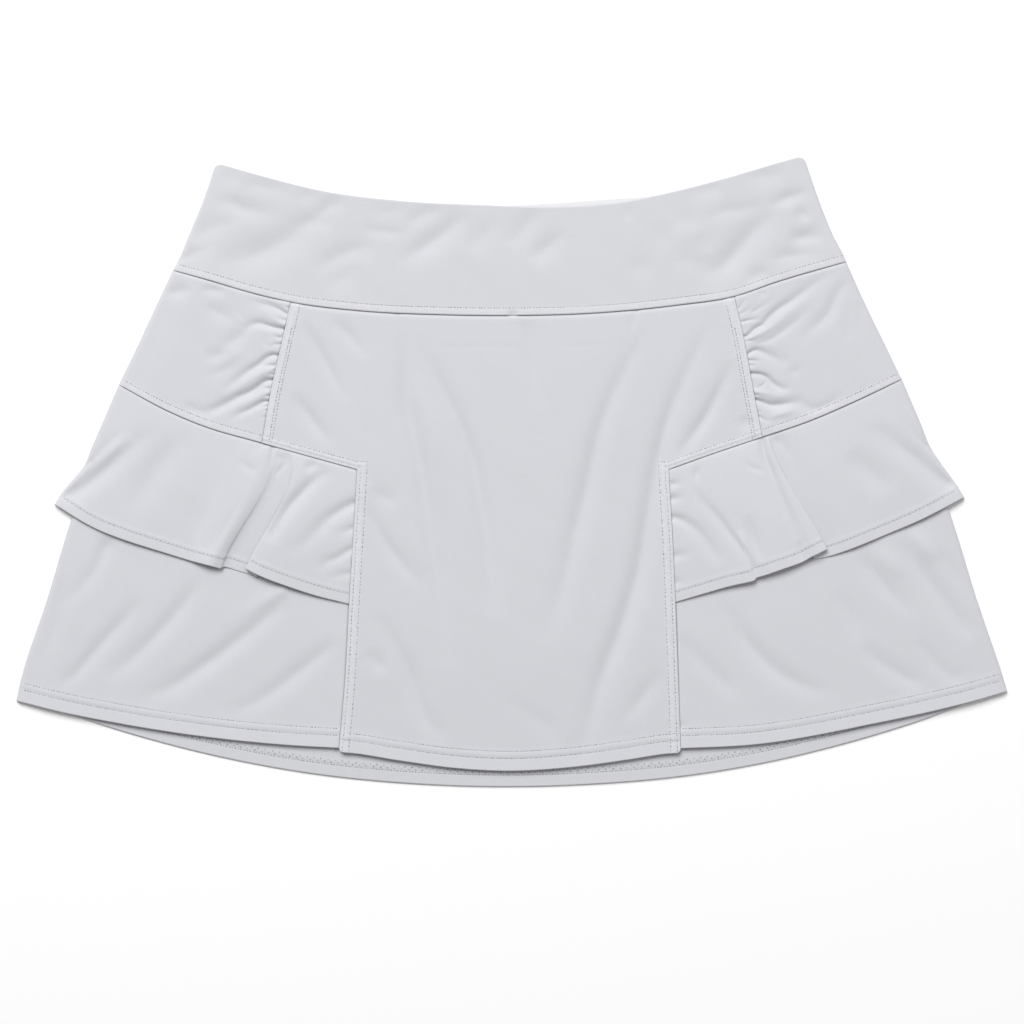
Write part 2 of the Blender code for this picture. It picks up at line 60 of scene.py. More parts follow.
# Heights of the upper surfaces over the floor, and how they rise, fall and roll
UPPER_CROWN = 5.0  # waistband, centre panel and yokes
LOWER_CROWN = 3.6
FLOUNCE_CROWN = 4.6  # of a flounce without its waves
HEM_RISE = 0.3  # of the lower panels below the flounces
HEM_RISE_RUN = 30.0
HEM_FALL = 0.8  # of the centre panel to its hem
HEM_FALL_RUN = 70.0
SINK = 1.4  # of the lower panels where the flounces hide them
SINK_START, SINK_RUN = 2.0, 12.0  # up from a flounce's hem
FLOUNCE_SWELL = 0.7  # half way down a flounce
YOKE_PUFF_RUN = 7.0  # from its gathers
CALM_START, CALM_RUN = 1.5, 4.0  # up from the yoke seam, to where a gather has its full depth
LINING_LIFT = 0.5  # of the back waistband off the floor
LINING_SWELL, LINING_RUN = 0.4, 4.0  # of the same, down from its edge
BACK_LIFT = 0.35  # of the back panel off the floor
BACK_MOTTLE = 0.25  # unevenness of the back panel, as a share of the front's
SIDE_STAND = 0.6
SIDE_ROLL = 3.4
SIDE_ROLL_SHARE = 0.76
SIDE_SHOULDER = 22.0
CORNER_RADIUS = 7.0
HEM_CORNER = 3.0  # of the centre panel
BAND_EDGE = 1.5  # how much rounder the waistband's edge is than that of a single layer

# Lines across the skirt: x, y
WAIST_FRONT = ((-190, 196), (-158, 186.7), (-114, 176), (-70, 170.6), (-20, 168), (30, 166.8),
               (68, 169.6), (91, 174), (130, 183.7), (168, 194.8), (188, 200.5))
WAIST_BACK = ((-186, 193), (-114, 175), (-20, 167.4), (5, 168.2), (30, 169.6), (55, 171.5),
              (91, 174.2), (150, 187.5), (186, 198))
WAIST_SEAM = ((-214, 127.4), (-188.6, 120.3), (-166, 113.6), (-138.4, 107), (-95, 101.5),
              (-45, 99.1), (5, 98.6), (50, 100), (105.5, 105.3), (139.3, 110.5), (166, 119.6),
              (212, 133))
YOKE_SEAM_LEFT = ((-248, 56.2), (-215.6, 38.8), (-196, 30.4), (-156.6, 18.7), (-96.8, 2))
YOKE_SEAM_RIGHT = ((98, 2), (125.4, 11.8), (156.9, 22.4), (188.2, 33.2), (214.6, 44.6), (247, 60))
LOWER_HEM = ((-312, -142.6), (-281, -150.2), (-253, -155.8), (-195.5, -165), (-138, -170.8),
             (-109, -172.4), (108, -172.6), (151, -170.4), (225, -157.6), (288, -143.4),
             (312, -136.6))
CENTRE_HEM = ((-109, -175), (-101, -175.6), (-70, -180.4), (-38, -184.8), (-4, -186.8),
              (40, -184.2), (74, -179.6), (98, -176), (107, -175.4))
BACK_HEM = ((-310, -141.5), (-281, -150.6), (-233, -165.4), (-183, -178.1), (-133, -187.5),
            (-70, -194.4), (0, -196.9), (55, -195), (105, -190.6), (155.6, -182.5),
            (206, -170.6), (256, -155.5), (288, -144), (310, -136.5))

# Lines down the skirt: x, y
BAND_SIDE_LEFT = ((-186.5, 190.5), (-193.3, 171), (-203.9, 146), (-207.6, 137), (-212.8, 127))
BAND_SIDE_RIGHT = ((184.6, 193), (192.5, 171), (203.2, 146), (207.4, 138.4), (210, 132.4))
YOKE_SIDE_LEFT = ((-212.8, 127), (-221.6, 108.4), (-233.2, 83.3), (-242.2, 64.5), (-246.6, 55.3))
YOKE_SIDE_RIGHT = ((210, 132.4), (220.7, 108.4), (232.9, 83.3), (242, 64.5), (244.8, 58.9))
GATHER_LEFT = ((-138.4, 107), (-144.7, 79.6), (-151, 51.4), (-156.6, 18.7))
GATHER_RIGHT = ((139.3, 110.5), (144.3, 89.6), (149.8, 60.4), (156.9, 22.4))
PANEL_SIDE_LEFT = ((-97, 2), (-99.6, -42.7), (-102, -82.2), (-104.6, -130), (-108.4, -173))
PANEL_SIDE_RIGHT = ((98.4, 2), (101, -43.6), (102.6, -81), (104.4, -130), (106, -174.6))
FLOUNCE_SIDE_LEFT = ((-246.8, 55), (-256.2, 33.2), (-264.3, 14.4), (-268.5, 4.3),
                     (-275.9, -4.5), (-281.2, -10.7), (-287, -19.6))
FLOUNCE_SIDE_RIGHT = ((245, 58.6), (255.8, 33.2), (263.9, 14.4), (268.1, 8.1),
                      (277.2, -4.5), (281.4, -10.7), (284, -15.2))
LOWER_SIDE_LEFT = ((-245.3, 54.5), (-260.8, 14), (-276.6, -29.5), (-291.8, -79.7),
                   (-308.2, -130), (-311, -142.6))
LOWER_SIDE_RIGHT = ((243.5, 58.4), (259.4, 16), (274.6, -24), (292, -79.7), (308.9, -130),
                    (311, -137))
BACK_INSET = 2.1
BAND_INSET = 2.8

# How a flounce runs from its seam to its hem, from the skirt's side to the centre panel, with
# its x at the seam, at two places on the way and at the hem. lift is what the hem has over the
# flounce's crown, or under it where it is below 0. Where x turns back, the cloth folds under
# itself.
Wave = namedtuple("Wave", "x_seam x_upper x_lower x_hem y_hem lift")
UPPER, LOWER = 0.38, 0.70  # how far down x_upper and x_lower lie
FLOUNCE_LEFT = (
    Wave(-246.8, -262.9, -277.0, -287.0, -19.6, 0.0),
    Wave(-234.0, -244.5, -256.0, -264.0, -33.4, 0.8),
    Wave(-220.0, -228.0, -236.5, -243.0, -42.0, 1.7),
    Wave(-196.0, -201.5, -209.5, -216.0, -50.6, 1.2),
    Wave(-181.0, -186.0, -195.5, -202.4, -54.8, 1.2),
    Wave(-174.0, -180.0, -190.5, -198.0, -56.0, 2.2),  # the outer lobe starts
    Wave(-165.0, -172.0, -184.5, -194.4, -56.8, 3.4),
    Wave(-157.5, -166.6, -180.6, -191.4, -57.6, 4.1),
    Wave(-153.6, -163.6, -177.4, -188.8, -58.2, 4.2),  # its ridge
    Wave(-152.0, -161.2, -175.2, -186.4, -58.9, 3.8),
    Wave(-151.0, -158.6, -173.0, -184.2, -59.5, 2.9),
    Wave(-150.4, -156.6, -171.2, -182.2, -59.9, 1.9),  # its edge
    Wave(-149.2, -154.8, -169.2, -180.4, -59.0, 0.6),
    Wave(-147.6, -152.4, -166.0, -176.8, -59.8, -0.2),
    Wave(-144.8, -149.4, -161.6, -170.6, -61.8, -0.4),
    Wave(-142.0, -145.4, -156.4, -164.0, -63.8, -0.2),
    Wave(-139.6, -141.6, -152.6, -160.0, -65.2, 0.6),  # the turn under the inner lobe
    Wave(-138.9, -141.3, -152.4, -161.4, -63.4, 1.8),
    Wave(-138.2, -142.3, -154.8, -166.3, -60.2, 2.6),  # edge of the inner lobe
    Wave(-137.0, -141.2, -153.8, -165.2, -60.8, 3.5),
    Wave(-132.4, -137.0, -148.4, -158.4, -64.2, 4.0),
    Wave(-124.6, -129.0, -138.0, -146.4, -69.0, 3.5),
    Wave(-111.4, -114.8, -119.6, -124.0, -76.6, 1.8),
    Wave(-97.0, -99.0, -100.8, -102.0, -82.3, 0.2),
)
FLOUNCE_RIGHT = (
    Wave(245.0, 258.5, 271.5, 284.0, -15.2, 0.0),
    Wave(226.0, 237.5, 248.5, 258.0, -28.6, 1.7),
    Wave(206.0, 217.0, 227.5, 236.0, -38.2, 0.9),
    Wave(188.0, 198.0, 208.5, 217.0, -46.0, 1.6),
    Wave(174.5, 185.5, 196.5, 204.5, -50.6, 0.7),
    Wave(166.0, 177.0, 190.0, 196.5, -53.0, -0.1),
    Wave(162.4, 172.6, 184.0, 191.4, -53.8, 0.0),
    Wave(161.6, 170.6, 182.4, 189.0, -53.2, 0.6),  # the turn under the lobe
    Wave(161.4, 170.9, 183.2, 191.8, -50.8, 1.9),
    Wave(161.2, 171.9, 185.6, 197.2, -47.9, 2.9),  # edge of the lobe
    Wave(160.4, 170.6, 183.8, 195.4, -48.8, 3.9),
    Wave(158.9, 168.0, 180.0, 191.0, -51.0, 4.3),  # its ridge
    Wave(157.6, 165.8, 176.8, 186.6, -53.2, 3.6),
    Wave(156.2, 163.6, 173.6, 182.2, -55.8, 3.0),  # trough
    Wave(152.0, 158.8, 167.6, 176.0, -58.2, 3.5),
    Wave(145.0, 151.4, 159.8, 168.0, -60.9, 3.9),
    Wave(136.6, 142.4, 150.4, 158.6, -64.2, 3.3),
    Wave(131.8, 137.2, 145.0, 153.4, -65.8, 2.6),
    Wave(129.6, 134.6, 142.0, 150.4, -68.0, 3.2),  # small step
    Wave(118.0, 122.5, 128.0, 134.0, -71.8, 2.1),
    Wave(98.4, 100.0, 101.5, 102.4, -81.1, 0.2),
)
LIFT_BEND = 0.62  # a wave's height over the way from the seam to the hem

# A trough (height under 0) or ridge of the cloth along a path. start and end are half widths
# there. With root 0 it fades to both ends. Over 0 it is full at its start, and stays so for
# longer the higher root is.
Fold = namedtuple("Fold", "height start end root path")
WAIST_CREASES = (
    Fold(-0.7, 2.8, 3.6, 0, ((-188, 170), (-174, 168.6), (-166, 165), (-142, 162))),
    Fold(-0.4, 3, 3, 0, ((-173, 177.6), (-160, 180), (-151, 178), (-136, 175.6))),
    Fold(-0.25, 2.8, 2.8, 0, ((-138, 171.6), (-120, 174.4))),
    Fold(-0.25, 3, 3, 0, ((-183, 185), (-168, 184.4))),
    Fold(-0.5, 2.8, 2.8, 0, ((-130, 155), (-115, 166.6), (-104, 171.2))),
    Fold(-0.5, 3.2, 3.2, 0, ((-139, 152), (-127, 157), (-110, 155))),
    Fold(-1.1, 5.5, 5.5, 0, ((-190, 132.6), (-162, 136.4), (-142, 146), (-123, 156))),
    Fold(-0.5, 3.6, 3.6, 0, ((-199, 143.6), (-191, 152.6), (-169, 160))),
    Fold(-0.4, 1.2, 2.4, 2, ((-207, 134), (-198, 138), (-180, 145))),
    Fold(-0.3, 2, 2, 0, ((-97, 153), (-80, 151), (-60, 149.6))),
    Fold(-0.6, 3.4, 3.4, 0, ((-124, 126), (-112, 134), (-101, 138.8), (-84, 143))),
    Fold(-0.25, 3, 3, 0, ((-90, 162.8), (-62, 165.4))),
    Fold(-0.45, 3, 3, 0, ((-70, 152), (-56, 161.4), (-41, 165))),
    Fold(-0.9, 3.6, 3.6, 0, ((-73, 131.4), (-55, 141.2), (-42, 151), (-26, 163.8))),
    Fold(-0.4, 4, 4, 0, ((-28, 137.6), (-20, 147), (-7, 160))),
    Fold(-0.4, 4, 4, 0, ((-118, 115.6), (-106, 122), (-95, 130))),
    Fold(-0.5, 3.8, 3.8, 0, ((-5, 143.6), (4, 148.6), (12, 158.6), (21, 160.4))),
    Fold(-0.6, 3.4, 3.4, 0, ((11, 132), (20, 139.6), (35, 151.6))),
    Fold(-0.2, 1.8, 1.8, 0, ((72, 168), (72.8, 157))),
    Fold(-0.25, 4, 4, 0, ((70, 127.6), (90, 129.8))),
    Fold(0.3, 6, 6, 0, ((98, 148.4), (110, 148.8), (124, 148.4))),
    Fold(-0.2, 3, 3, 0, ((97.5, 157), (93.6, 148.4), (100.5, 141.6))),
    Fold(-0.2, 3, 3, 0, ((100, 157), (119, 159))),
    Fold(-0.2, 3.4, 3.4, 0, ((119.4, 152), (121, 137))),
    Fold(-0.2, 3.4, 3.4, 0, ((96, 134), (112, 132.2), (128, 133))),
    Fold(-0.4, 2.6, 2.6, 0, ((119, 158.6), (132.5, 163.8), (144, 165.2), (161, 169.6))),
    Fold(-0.6, 2.2, 2.2, 0, ((160, 166), (173.4, 172.6), (188, 176.4))),
    Fold(-1.1, 4.2, 4.2, 0, ((114, 123.4), (130, 128), (138.4, 135.4), (153, 152.8), (168, 166))),
    Fold(-0.9, 3, 3, 0, ((172.6, 146), (183.6, 147.8), (196, 149.2))),
    Fold(-0.5, 2.6, 2.6, 0, ((161, 133.6), (173.4, 136), (197, 138.4))),
    Fold(-0.5, 2.4, 2.4, 0, ((177, 164.6), (187, 159))),
    Fold(-0.4, 3.4, 3.4, 0, ((143, 183), (160, 186.4), (173, 188.6))),
    Fold(-0.4, 3.4, 3.4, 0, ((109, 173), (124, 177.6), (133, 179))),
    Fold(-0.5, 2.6, 2.6, 0, ((145, 120.6), (161, 126.8))),
    Fold(-0.4, 0.9, 1.1, 1, ((0.6, 99), (-1.6, 103.4))),
    Fold(-0.4, 0.9, 1.1, 1, ((0.6, 99), (3, 103.2))),
)
CENTRE_CREASES = (
    Fold(-0.8, 2.6, 3.4, 0, ((-131, 95), (-122, 79), (-114, 63), (-103, 44))),
    Fold(-0.5, 3, 3, 0, ((-113, 96.6), (-102, 86), (-91, 72))),
    Fold(-0.9, 3, 4.6, 0, ((-70, 98), (-67, 80), (-66, 47), (-58, 7), (-51, -37), (-44, -80),
                          (-37, -122))),
    Fold(-1.1, 3.6, 5, 0, ((-62, 88), (-42, 50), (-27, 15), (-18, -25), (-13, -60), (-11, -90))),
    Fold(0.5, 4, 4, 0, ((-60, 62), (-48, 20), (-40, -30))),
    Fold(-0.7, 2.6, 3.6, 0, ((-92, -20), (-80, -41.5), (-72, -53.5), (-54, -74))),
    Fold(0.2, 3, 3, 0, ((-68, -32), (-58, -50), (-52, -64))),
    Fold(-0.4, 3.4, 3.4, 0, ((-87, -10), (-72, -21))),
    Fold(-0.8, 3.8, 4.4, 0, ((-85, -87), (-76, -102), (-66, -122), (-60, -140), (-52, -157),
                            (-40, -168))),
    Fold(-0.4, 3.6, 3.6, 0, ((-91, -111), (-79, -126))),
    Fold(-0.5, 3, 4, 0, ((4, 97), (10, 86), (15, 58), (22, 40))),
    Fold(-1.1, 3.6, 5, 0, ((85, 92), (67, 57), (55, 26), (48, -6), (40, -38), (32, -72),
                          (21, -108))),
    Fold(-1.3, 3.4, 5, 0, ((126, 96), (111, 66), (96, 28), (87, -17), (80, -60), (67, -102),
                          (56, -130), (48, -160), (41, -188))),
    Fold(-0.9, 2.8, 2.8, 0, ((139, 71), (130, 51.6), (122, 35.4), (112, 21), (103, 8))),
    Fold(-0.5, 3.6, 3.6, 0, ((93, -124), (82, -140.5), (70, -156))),
    Fold(-0.2, 4, 4, 0, ((-8, -140), (17, -154.7), (32, -164))),
    Fold(-0.4, 2.5, 2.5, 0, ((144, 36), (149, 26))),
    Fold(-0.7, 3, 3, 0, ((-137, 50), (-126, 34), (-113, 17))),
    Fold(-0.07, 1, 1, 0, ((-58, 79.6), (-20, 78.8), (20, 79.4))),
    Fold(-0.06, 1, 1, 0, ((10, 79.2), (40, 79.8), (74, 80.6))),
    Fold(-0.3, 1.2, 2, 1, ((-72, 98.6), (-67, 90))),
    Fold(-0.3, 1.2, 2, 1, ((78, 101), (75, 92), (73.6, 86))),
)
LOWER_CREASES = (
    Fold(-1.1, 3.2, 3.2, 1, ((-254, -46), (-261.8, -62), (-270.4, -72), (-278, -79),
                            (-280, -88))),
    Fold(-0.5, 3, 3, 0, ((-281.6, -62), (-283.2, -79), (-286, -95), (-289, -105), (-297, -122))),
    Fold(-1.1, 3.4, 2.6, 0, ((-233, -78), (-242, -90.6), (-257.6, -107.7), (-273.2, -126),
                            (-284, -133.6))),
    Fold(-1.2, 3.4, 4, 0, ((-194, -64), (-203.4, -79), (-219, -97.7), (-237.6, -116.3),
                          (-256, -130))),
    Fold(-1.4, 3.4, 4.4, 0, ((-141, -79), (-153.5, -90.6), (-175, -107.7), (-196.3, -123.4),
                            (-215, -134.8), (-238, -142.4))),
    Fold(0.9, 2.6, 4, 1, ((-144, -74), (-159, -83.4), (-172, -92))),
    Fold(-1.0, 3.4, 4, 0, ((-108.6, -104), (-119.4, -113.4), (-139, -129), (-159, -143),
                          (-183, -152))),
    Fold(-1.2, 4, 4.4, 0, ((131, -81), (140, -92), (146, -103.7), (161.6, -120.8), (183, -133.6),
                          (209, -139.6))),
    Fold(-0.7, 3.9, 3.9, 0, ((107, -101), (114.5, -113.6), (131.6, -130.7), (142, -139.4))),
    Fold(-0.6, 4, 4, 0, ((200, -75), (210, -85), (216, -97), (221, -107))),
    Fold(-0.8, 4, 3.4, 0, ((218, -105), (228.5, -116.5), (248.5, -129.3), (260, -132.6))),
    Fold(-1.0, 3.9, 3.9, 0, ((217, -52), (227, -62), (235.7, -73.7), (254, -90.6))),
    Fold(-1.2, 4.4, 4, 0, ((244.6, -40), (251.3, -53.8), (268.4, -76.6), (282.7, -96.5),
                          (290, -103))),
    Fold(-0.5, 2.5, 2.5, 0, ((267, -46), (277, -61), (290.6, -83.6))),
    Fold(-0.6, 3, 3, 0, ((250, -105), (260, -112.2), (267, -120.8), (277, -128.4), (287, -122))),
    Fold(0.8, 3, 4, 0, ((250, -36), (258, -46), (266, -56))),
    Fold(0.6, 3, 4, 0, ((228, -48), (236, -56), (244, -66))),
    Fold(-0.5, 1.6, 2.4, 1, ((106.4, -158.4), (110.6, -158.6))),
)
GATHERS_LEFT = (
    Fold(-0.7, 0.8, 1, 1, ((-139.4, 103.2), (-142.6, 105), (-146.4, 107.4))),
    Fold(0.5, 1, 1.6, 1, ((-140.6, 104.6), (-148, 108.4))),
    Fold(-1.5, 1.1, 3.4, 2, ((-141.4, 99.6), (-147.4, 103.2), (-153, 105.2), (-158.4, 106.4),
                            (-166, 109.4))),
    Fold(0.8, 1.2, 2.4, 1, ((-142, 93), (-148, 95.6), (-153, 99.4), (-160, 102.6))),
    Fold(-0.7, 1.2, 1.6, 1, ((-142.6, 95.4), (-148, 97.4))),
    Fold(-1.9, 0.9, 2.8, 3, ((-142.4, 89.9), (-147.4, 90.7), (-153, 92.2), (-158.4, 93.8),
                            (-164, 92), (-168, 88.6))),
    Fold(-1.0, 3.2, 4, 0, ((-164, 91), (-173, 84), (-182, 77))),
    Fold(-0.9, 3.6, 3.6, 0, ((-176, 77), (-185, 73.6), (-193, 71))),
    Fold(-0.9, 0.8, 1, 1, ((-144.6, 84.8), (-147.8, 85.2), (-149.6, 87))),
    Fold(-0.9, 0.8, 1, 1, ((-145, 80.5), (-149, 80.1), (-151, 78))),
    Fold(-0.4, 0.9, 0.9, 0, ((-155, 87), (-154.6, 81.4), (-151.4, 78))),
    Fold(-2.1, 1.1, 2.6, 4, ((-145.8, 73.3), (-149.7, 73.6), (-153.6, 71.8), (-159, 67.4),
                            (-165.4, 63.2), (-172.4, 57.7), (-182, 50.6))),
    Fold(-1.2, 0.8, 1.2, 1, ((-148.6, 67.3), (-153.6, 67.1), (-158.4, 66.6))),
    Fold(1.0, 1.8, 3.6, 2, ((-150.6, 64.6), (-158, 61.6), (-168.4, 55.4), (-182, 47))),
    Fold(-0.7, 0.7, 0.8, 1, ((-148.8, 61.7), (-152.6, 61.7))),
    Fold(-0.6, 0.7, 0.7, 1, ((-148.6, 64), (-151, 64.2))),
    Fold(-2.3, 1.2, 3, 5, ((-149.8, 58.1), (-154.4, 57.3), (-158.3, 54.2), (-163.8, 50.7),
                          (-171.7, 47.2), (-179.5, 42.9), (-188, 38.9), (-195, 36.4))),
    Fold(-0.8, 2.4, 3, 0, ((-205, 44), (-198.4, 39.6), (-192, 35.6))),
    Fold(-0.8, 0.8, 1, 1, ((-151.8, 52.9), (-157.5, 53))),
    Fold(0.8, 1.2, 2.4, 1, ((-153.4, 50), (-158.4, 47.6), (-167.7, 42.9), (-176.4, 38.9))),
    Fold(-0.8, 0.7, 0.8, 1, ((-151.6, 48.2), (-155.8, 48.2))),
    Fold(-1.7, 0.9, 2.2, 3, ((-152, 44.8), (-155.2, 44.4), (-159.1, 42.5), (-164.6, 39.3),
                            (-170.9, 36.6), (-178, 32))),
    Fold(-1.0, 0.7, 1, 1, ((-153.2, 42), (-160, 40.8))),
    Fold(-0.6, 0.7, 0.7, 1, ((-153.4, 39.1), (-156.6, 39.1))),
    Fold(-0.6, 0.7, 0.7, 1, ((-154.2, 35), (-157.4, 35))),
    Fold(-0.4, 1, 1, 0, ((-173.8, 113), (-171.4, 103), (-169.6, 98.4), (-167.4, 94.6))),
    Fold(-1.2, 3.4, 3.4, 0, ((-218, 112), (-210, 113.4), (-200, 115.8))),
    Fold(-0.9, 3, 3, 0, ((-196, 114.6), (-186, 114.4), (-178, 112.6))),
    Fold(-0.8, 4, 4, 0, ((-193, 105), (-183, 100), (-174, 95))),
    Fold(-0.7, 3.5, 3.5, 0, ((-194, 59), (-179.5, 64.8), (-168, 73))),
    Fold(0.4, 3.5, 3.5, 0, ((-185, 65.6), (-168, 77.4))),
)
GATHERS_RIGHT = (
    Fold(-0.6, 0.8, 1, 1, ((142.2, 102.8), (145, 107), (148, 111))),
    Fold(-0.5, 0.8, 1.2, 1, ((143.4, 99.6), (148, 102.4), (152, 105.4))),
    Fold(-0.5, 1, 1.8, 1, ((151, 100.8), (159.6, 106), (166, 110.4))),
    Fold(-0.9, 0.7, 1, 2, ((144.4, 94.6), (149.4, 95.8), (156.4, 96.6))),
    Fold(-0.5, 2, 2, 0, ((154, 113.6), (160, 111.4))),
    Fold(-1.7, 0.9, 3.2, 4, ((145.8, 85.2), (148.6, 86.4), (152.5, 90.3), (157.2, 92.7),
                            (161.2, 97.4), (167.4, 102.9), (174.5, 107.2), (180.8, 111.9),
                            (190.2, 119), (204.6, 126.6))),
    Fold(0.9, 1.4, 3.4, 2, ((149.4, 84.6), (157.2, 88), (166.6, 94.3), (177.6, 103.7),
                           (188.6, 113))),
    Fold(-0.7, 1.2, 2.6, 0, ((151, 80.6), (159.6, 82.5), (166.6, 86.4), (177.6, 95),
                            (189, 104.8))),
    Fold(-0.6, 0.7, 1, 1, ((146.8, 82.4), (153.4, 83.4))),
    Fold(-1.2, 3, 3.6, 0, ((214, 119.4), (208, 117.8), (204, 112), (199.6, 102), (193, 94),
                          (187.8, 90.2), (180.6, 79.8))),
    Fold(-0.5, 2.2, 2.2, 0, ((219, 107.4), (217.6, 99.6), (219.6, 86))),
    Fold(0.4, 1.8, 1.8, 0, ((214.4, 105), (215, 92))),
    Fold(-0.4, 2.2, 2.2, 0, ((212, 107), (211.2, 92.6), (210.6, 83))),
    Fold(-1.7, 0.9, 3.4, 3, ((147.6, 74.2), (151, 76.2), (154.2, 76.6), (159.6, 74.3),
                            (166.6, 70.8), (173, 67))),
    Fold(-1.0, 0.7, 1, 1, ((148.2, 70.4), (156.8, 70))),
    Fold(-0.7, 0.7, 0.7, 1, ((149, 67.4), (153, 67.4))),
    Fold(-2.2, 1, 2, 5, ((149.8, 62.2), (154.9, 61.7), (159.6, 59.8), (162.7, 56.6),
                        (167.4, 53.5), (174.6, 51.2))),
    Fold(-0.6, 0.7, 0.7, 0, ((151.6, 53.1), (156.5, 54.3), (158.8, 57.4), (159.4, 59.4))),
    Fold(1.2, 1.6, 2.6, 1, ((151.4, 50.8), (159.6, 49.6), (166.6, 48), (174, 49.8))),
    Fold(-0.7, 0.7, 0.7, 1, ((151.6, 48.8), (155.6, 48.6))),
    Fold(-2.1, 0.9, 3, 4, ((152.6, 45.8), (157.2, 44.1), (161.9, 42.4), (168.2, 42.6),
                          (174.5, 43.6), (182, 43.6))),
    Fold(-0.9, 2.6, 2.6, 0, ((176, 49), (182, 43.6), (190, 40), (200, 44), (208, 52))),
    Fold(0.8, 1.4, 2.4, 0, ((161, 34.6), (169, 37.1), (178.6, 39.8))),
    Fold(-0.6, 0.7, 0.7, 1, ((153.8, 38.2), (157, 38))),
    Fold(-0.9, 0.9, 0.9, 1, ((154.4, 35.6), (159.6, 32.6), (161.6, 34))),
    Fold(-0.5, 2.6, 2.6, 0, ((174, 64.6), (181, 62.8))),
)
FLOUNCE_CREASES = (
    Fold(-0.5, 0.9, 1.4, 2, ((-267.4, 4.2), (-259.5, 11.3), (-251.7, 19.8), (-243, 27))),
    Fold(-1.2, 3, 4.4, 2, ((-278.6, -14), (-268.6, -8.9), (-258.2, -1.1), (-247.7, 8.1),
                          (-237.3, 17.2), (-219, 29))),
    Fold(0.5, 2.6, 2.6, 0, ((-268, -2.6), (-250.4, 13.3), (-237, 24))),
    Fold(-0.8, 5.8, 5.8, 0, ((-242, -27), (-232, -14), (-225.5, -2.4), (-219, 6.8), (-211, 16),
                            (-200, 22.6))),
    Fold(-0.2, 3, 3, 0, ((-200, -12), (-199.6, -25), (-198, -33.7), (-196.6, -44))),
    Fold(-0.3, 1.6, 2, 1, ((-154.6, 18), (-159, 15.9), (-165, 11.6))),
    Fold(-0.25, 1.9, 1.9, 0, ((-172, 8.4), (-164.2, 2.8), (-159, 0.4))),
    Fold(-0.3, 2.6, 3.4, 0, ((-168, -14), (-181, -36.3), (-192, -51))),
    Fold(-0.4, 1.2, 1.6, 1, ((-150, 16), (-150.6, 8), (-152.4, 0))),
    Fold(-0.2, 1.6, 1.6, 0, ((-149, 9.8), (-143.2, 9.2), (-138.6, 11.4))),
    Fold(-0.3, 1.4, 1.4, 0, ((-139.4, 9.4), (-144.5, 2.8), (-148.6, -2.6))),
    Fold(-1.0, 2.6, 3.2, 0, ((-112, 2), (-122.3, -3.7), (-131.5, -12.8), (-140, -22.6),
                            (-148.5, -36.3), (-152, -44))),
    Fold(-0.5, 2.3, 2.3, 0, ((-120, 6), (-130.6, 2.4))),
    Fold(-0.8, 2.2, 3.4, 2, ((-99.6, -19.4), (-106.7, -23.3), (-114.5, -28.5), (-122.3, -36.3),
                            (-130.2, -44.2), (-141, -50))),
    Fold(-0.5, 1.4, 2, 1, ((-100.4, -35), (-109.6, -39.2))),
    Fold(-0.6, 1.5, 2.6, 2, ((-101, -48), (-109.3, -53.3), (-115.8, -55.9), (-122, -62))),
    Fold(-0.4, 1.3, 2, 1, ((-101.8, -63), (-109.3, -64.4), (-117, -66))),
    Fold(-0.5, 0.9, 1.4, 2, ((262.6, 14.2), (255.7, 21.1), (249.2, 29), (244.6, 35))),
    Fold(-1.2, 3, 4.4, 2, ((273.6, -7), (264.8, -1.1), (254.4, 8.1), (243.9, 15.9),
                          (234.8, 23.7), (223, 29.6))),
    Fold(-0.6, 5.2, 5.2, 0, ((238, -12), (228.3, -3.7), (219.1, 5.5), (212, 14))),
    Fold(-0.4, 2.6, 4, 1, ((167, 20), (174.7, 10.7), (182, -1))),
    Fold(-0.6, 1.4, 4, 3, ((156.8, 20), (159, 9.4), (163, 0.2), (166.9, -10.2), (174.7, -28.5),
                          (179.6, -42))),
    Fold(-0.25, 1.2, 1.2, 0, ((145.6, 7.2), (151.2, 2.8), (159.6, 0.8))),
    Fold(-0.4, 3, 3, 0, ((113, -0.4), (119, -0.4))),
    Fold(-0.5, 1.3, 1.8, 1, ((100.2, -7), (107.4, -6.2))),
    Fold(-0.6, 1.6, 2, 1, ((100.4, -16.1), (108.4, -15.4))),
    Fold(-0.7, 1.6, 3, 3, ((100.6, -27.8), (106.8, -29.8), (114.6, -35), (121.2, -42.9),
                          (126.4, -50.7), (131, -57))),
    Fold(-0.5, 1.8, 2.4, 1, ((101.4, -52), (112.6, -50.7))),
    Fold(-0.4, 1.8, 1.8, 1, ((102.4, -68.3), (108, -68))),
    Fold(-0.7, 1.6, 2, 0, ((114, -8), (119.9, -18), (129, -28.5), (136.8, -39), (144.7, -49.4),
                          (148, -57))),
    Fold(0.6, 2, 2, 0, ((142, -36), (148, -48), (152, -58))),
    Fold(-0.6, 2.6, 3.2, 0, ((148.2, -26), (151.2, -41.6), (155.6, -55))),
    Fold(-0.2, 1.2, 1.2, 0, ((179, -42), (181.4, -56))),
)
BACK_CREASES = (
    Fold(0.35, 12, 16, 0, ((-210, -120), (-120, -166), (-40, -186))),
    Fold(0.35, 12, 16, 0, ((200, -120), (120, -160), (30, -184))),
    Fold(0.3, 14, 18, 0, ((-120, 90), (-90, 0), (-70, -110))),
    Fold(0.3, 14, 18, 0, ((130, 90), (96, 0), (80, -110))),
    Fold(0.25, 10, 16, 0, ((10, 90), (4, 0), (0, -120))),
)
STEPS_BETWEEN = 3  # of a path, from knot to knot
CREASE_POWER = 1.7  # under 2 its bottom is sharper than a round one
CREASE_SPREAD = 1.35  # times the half widths listed
WAIST_SPREAD = 1.75  # the same for the waistband
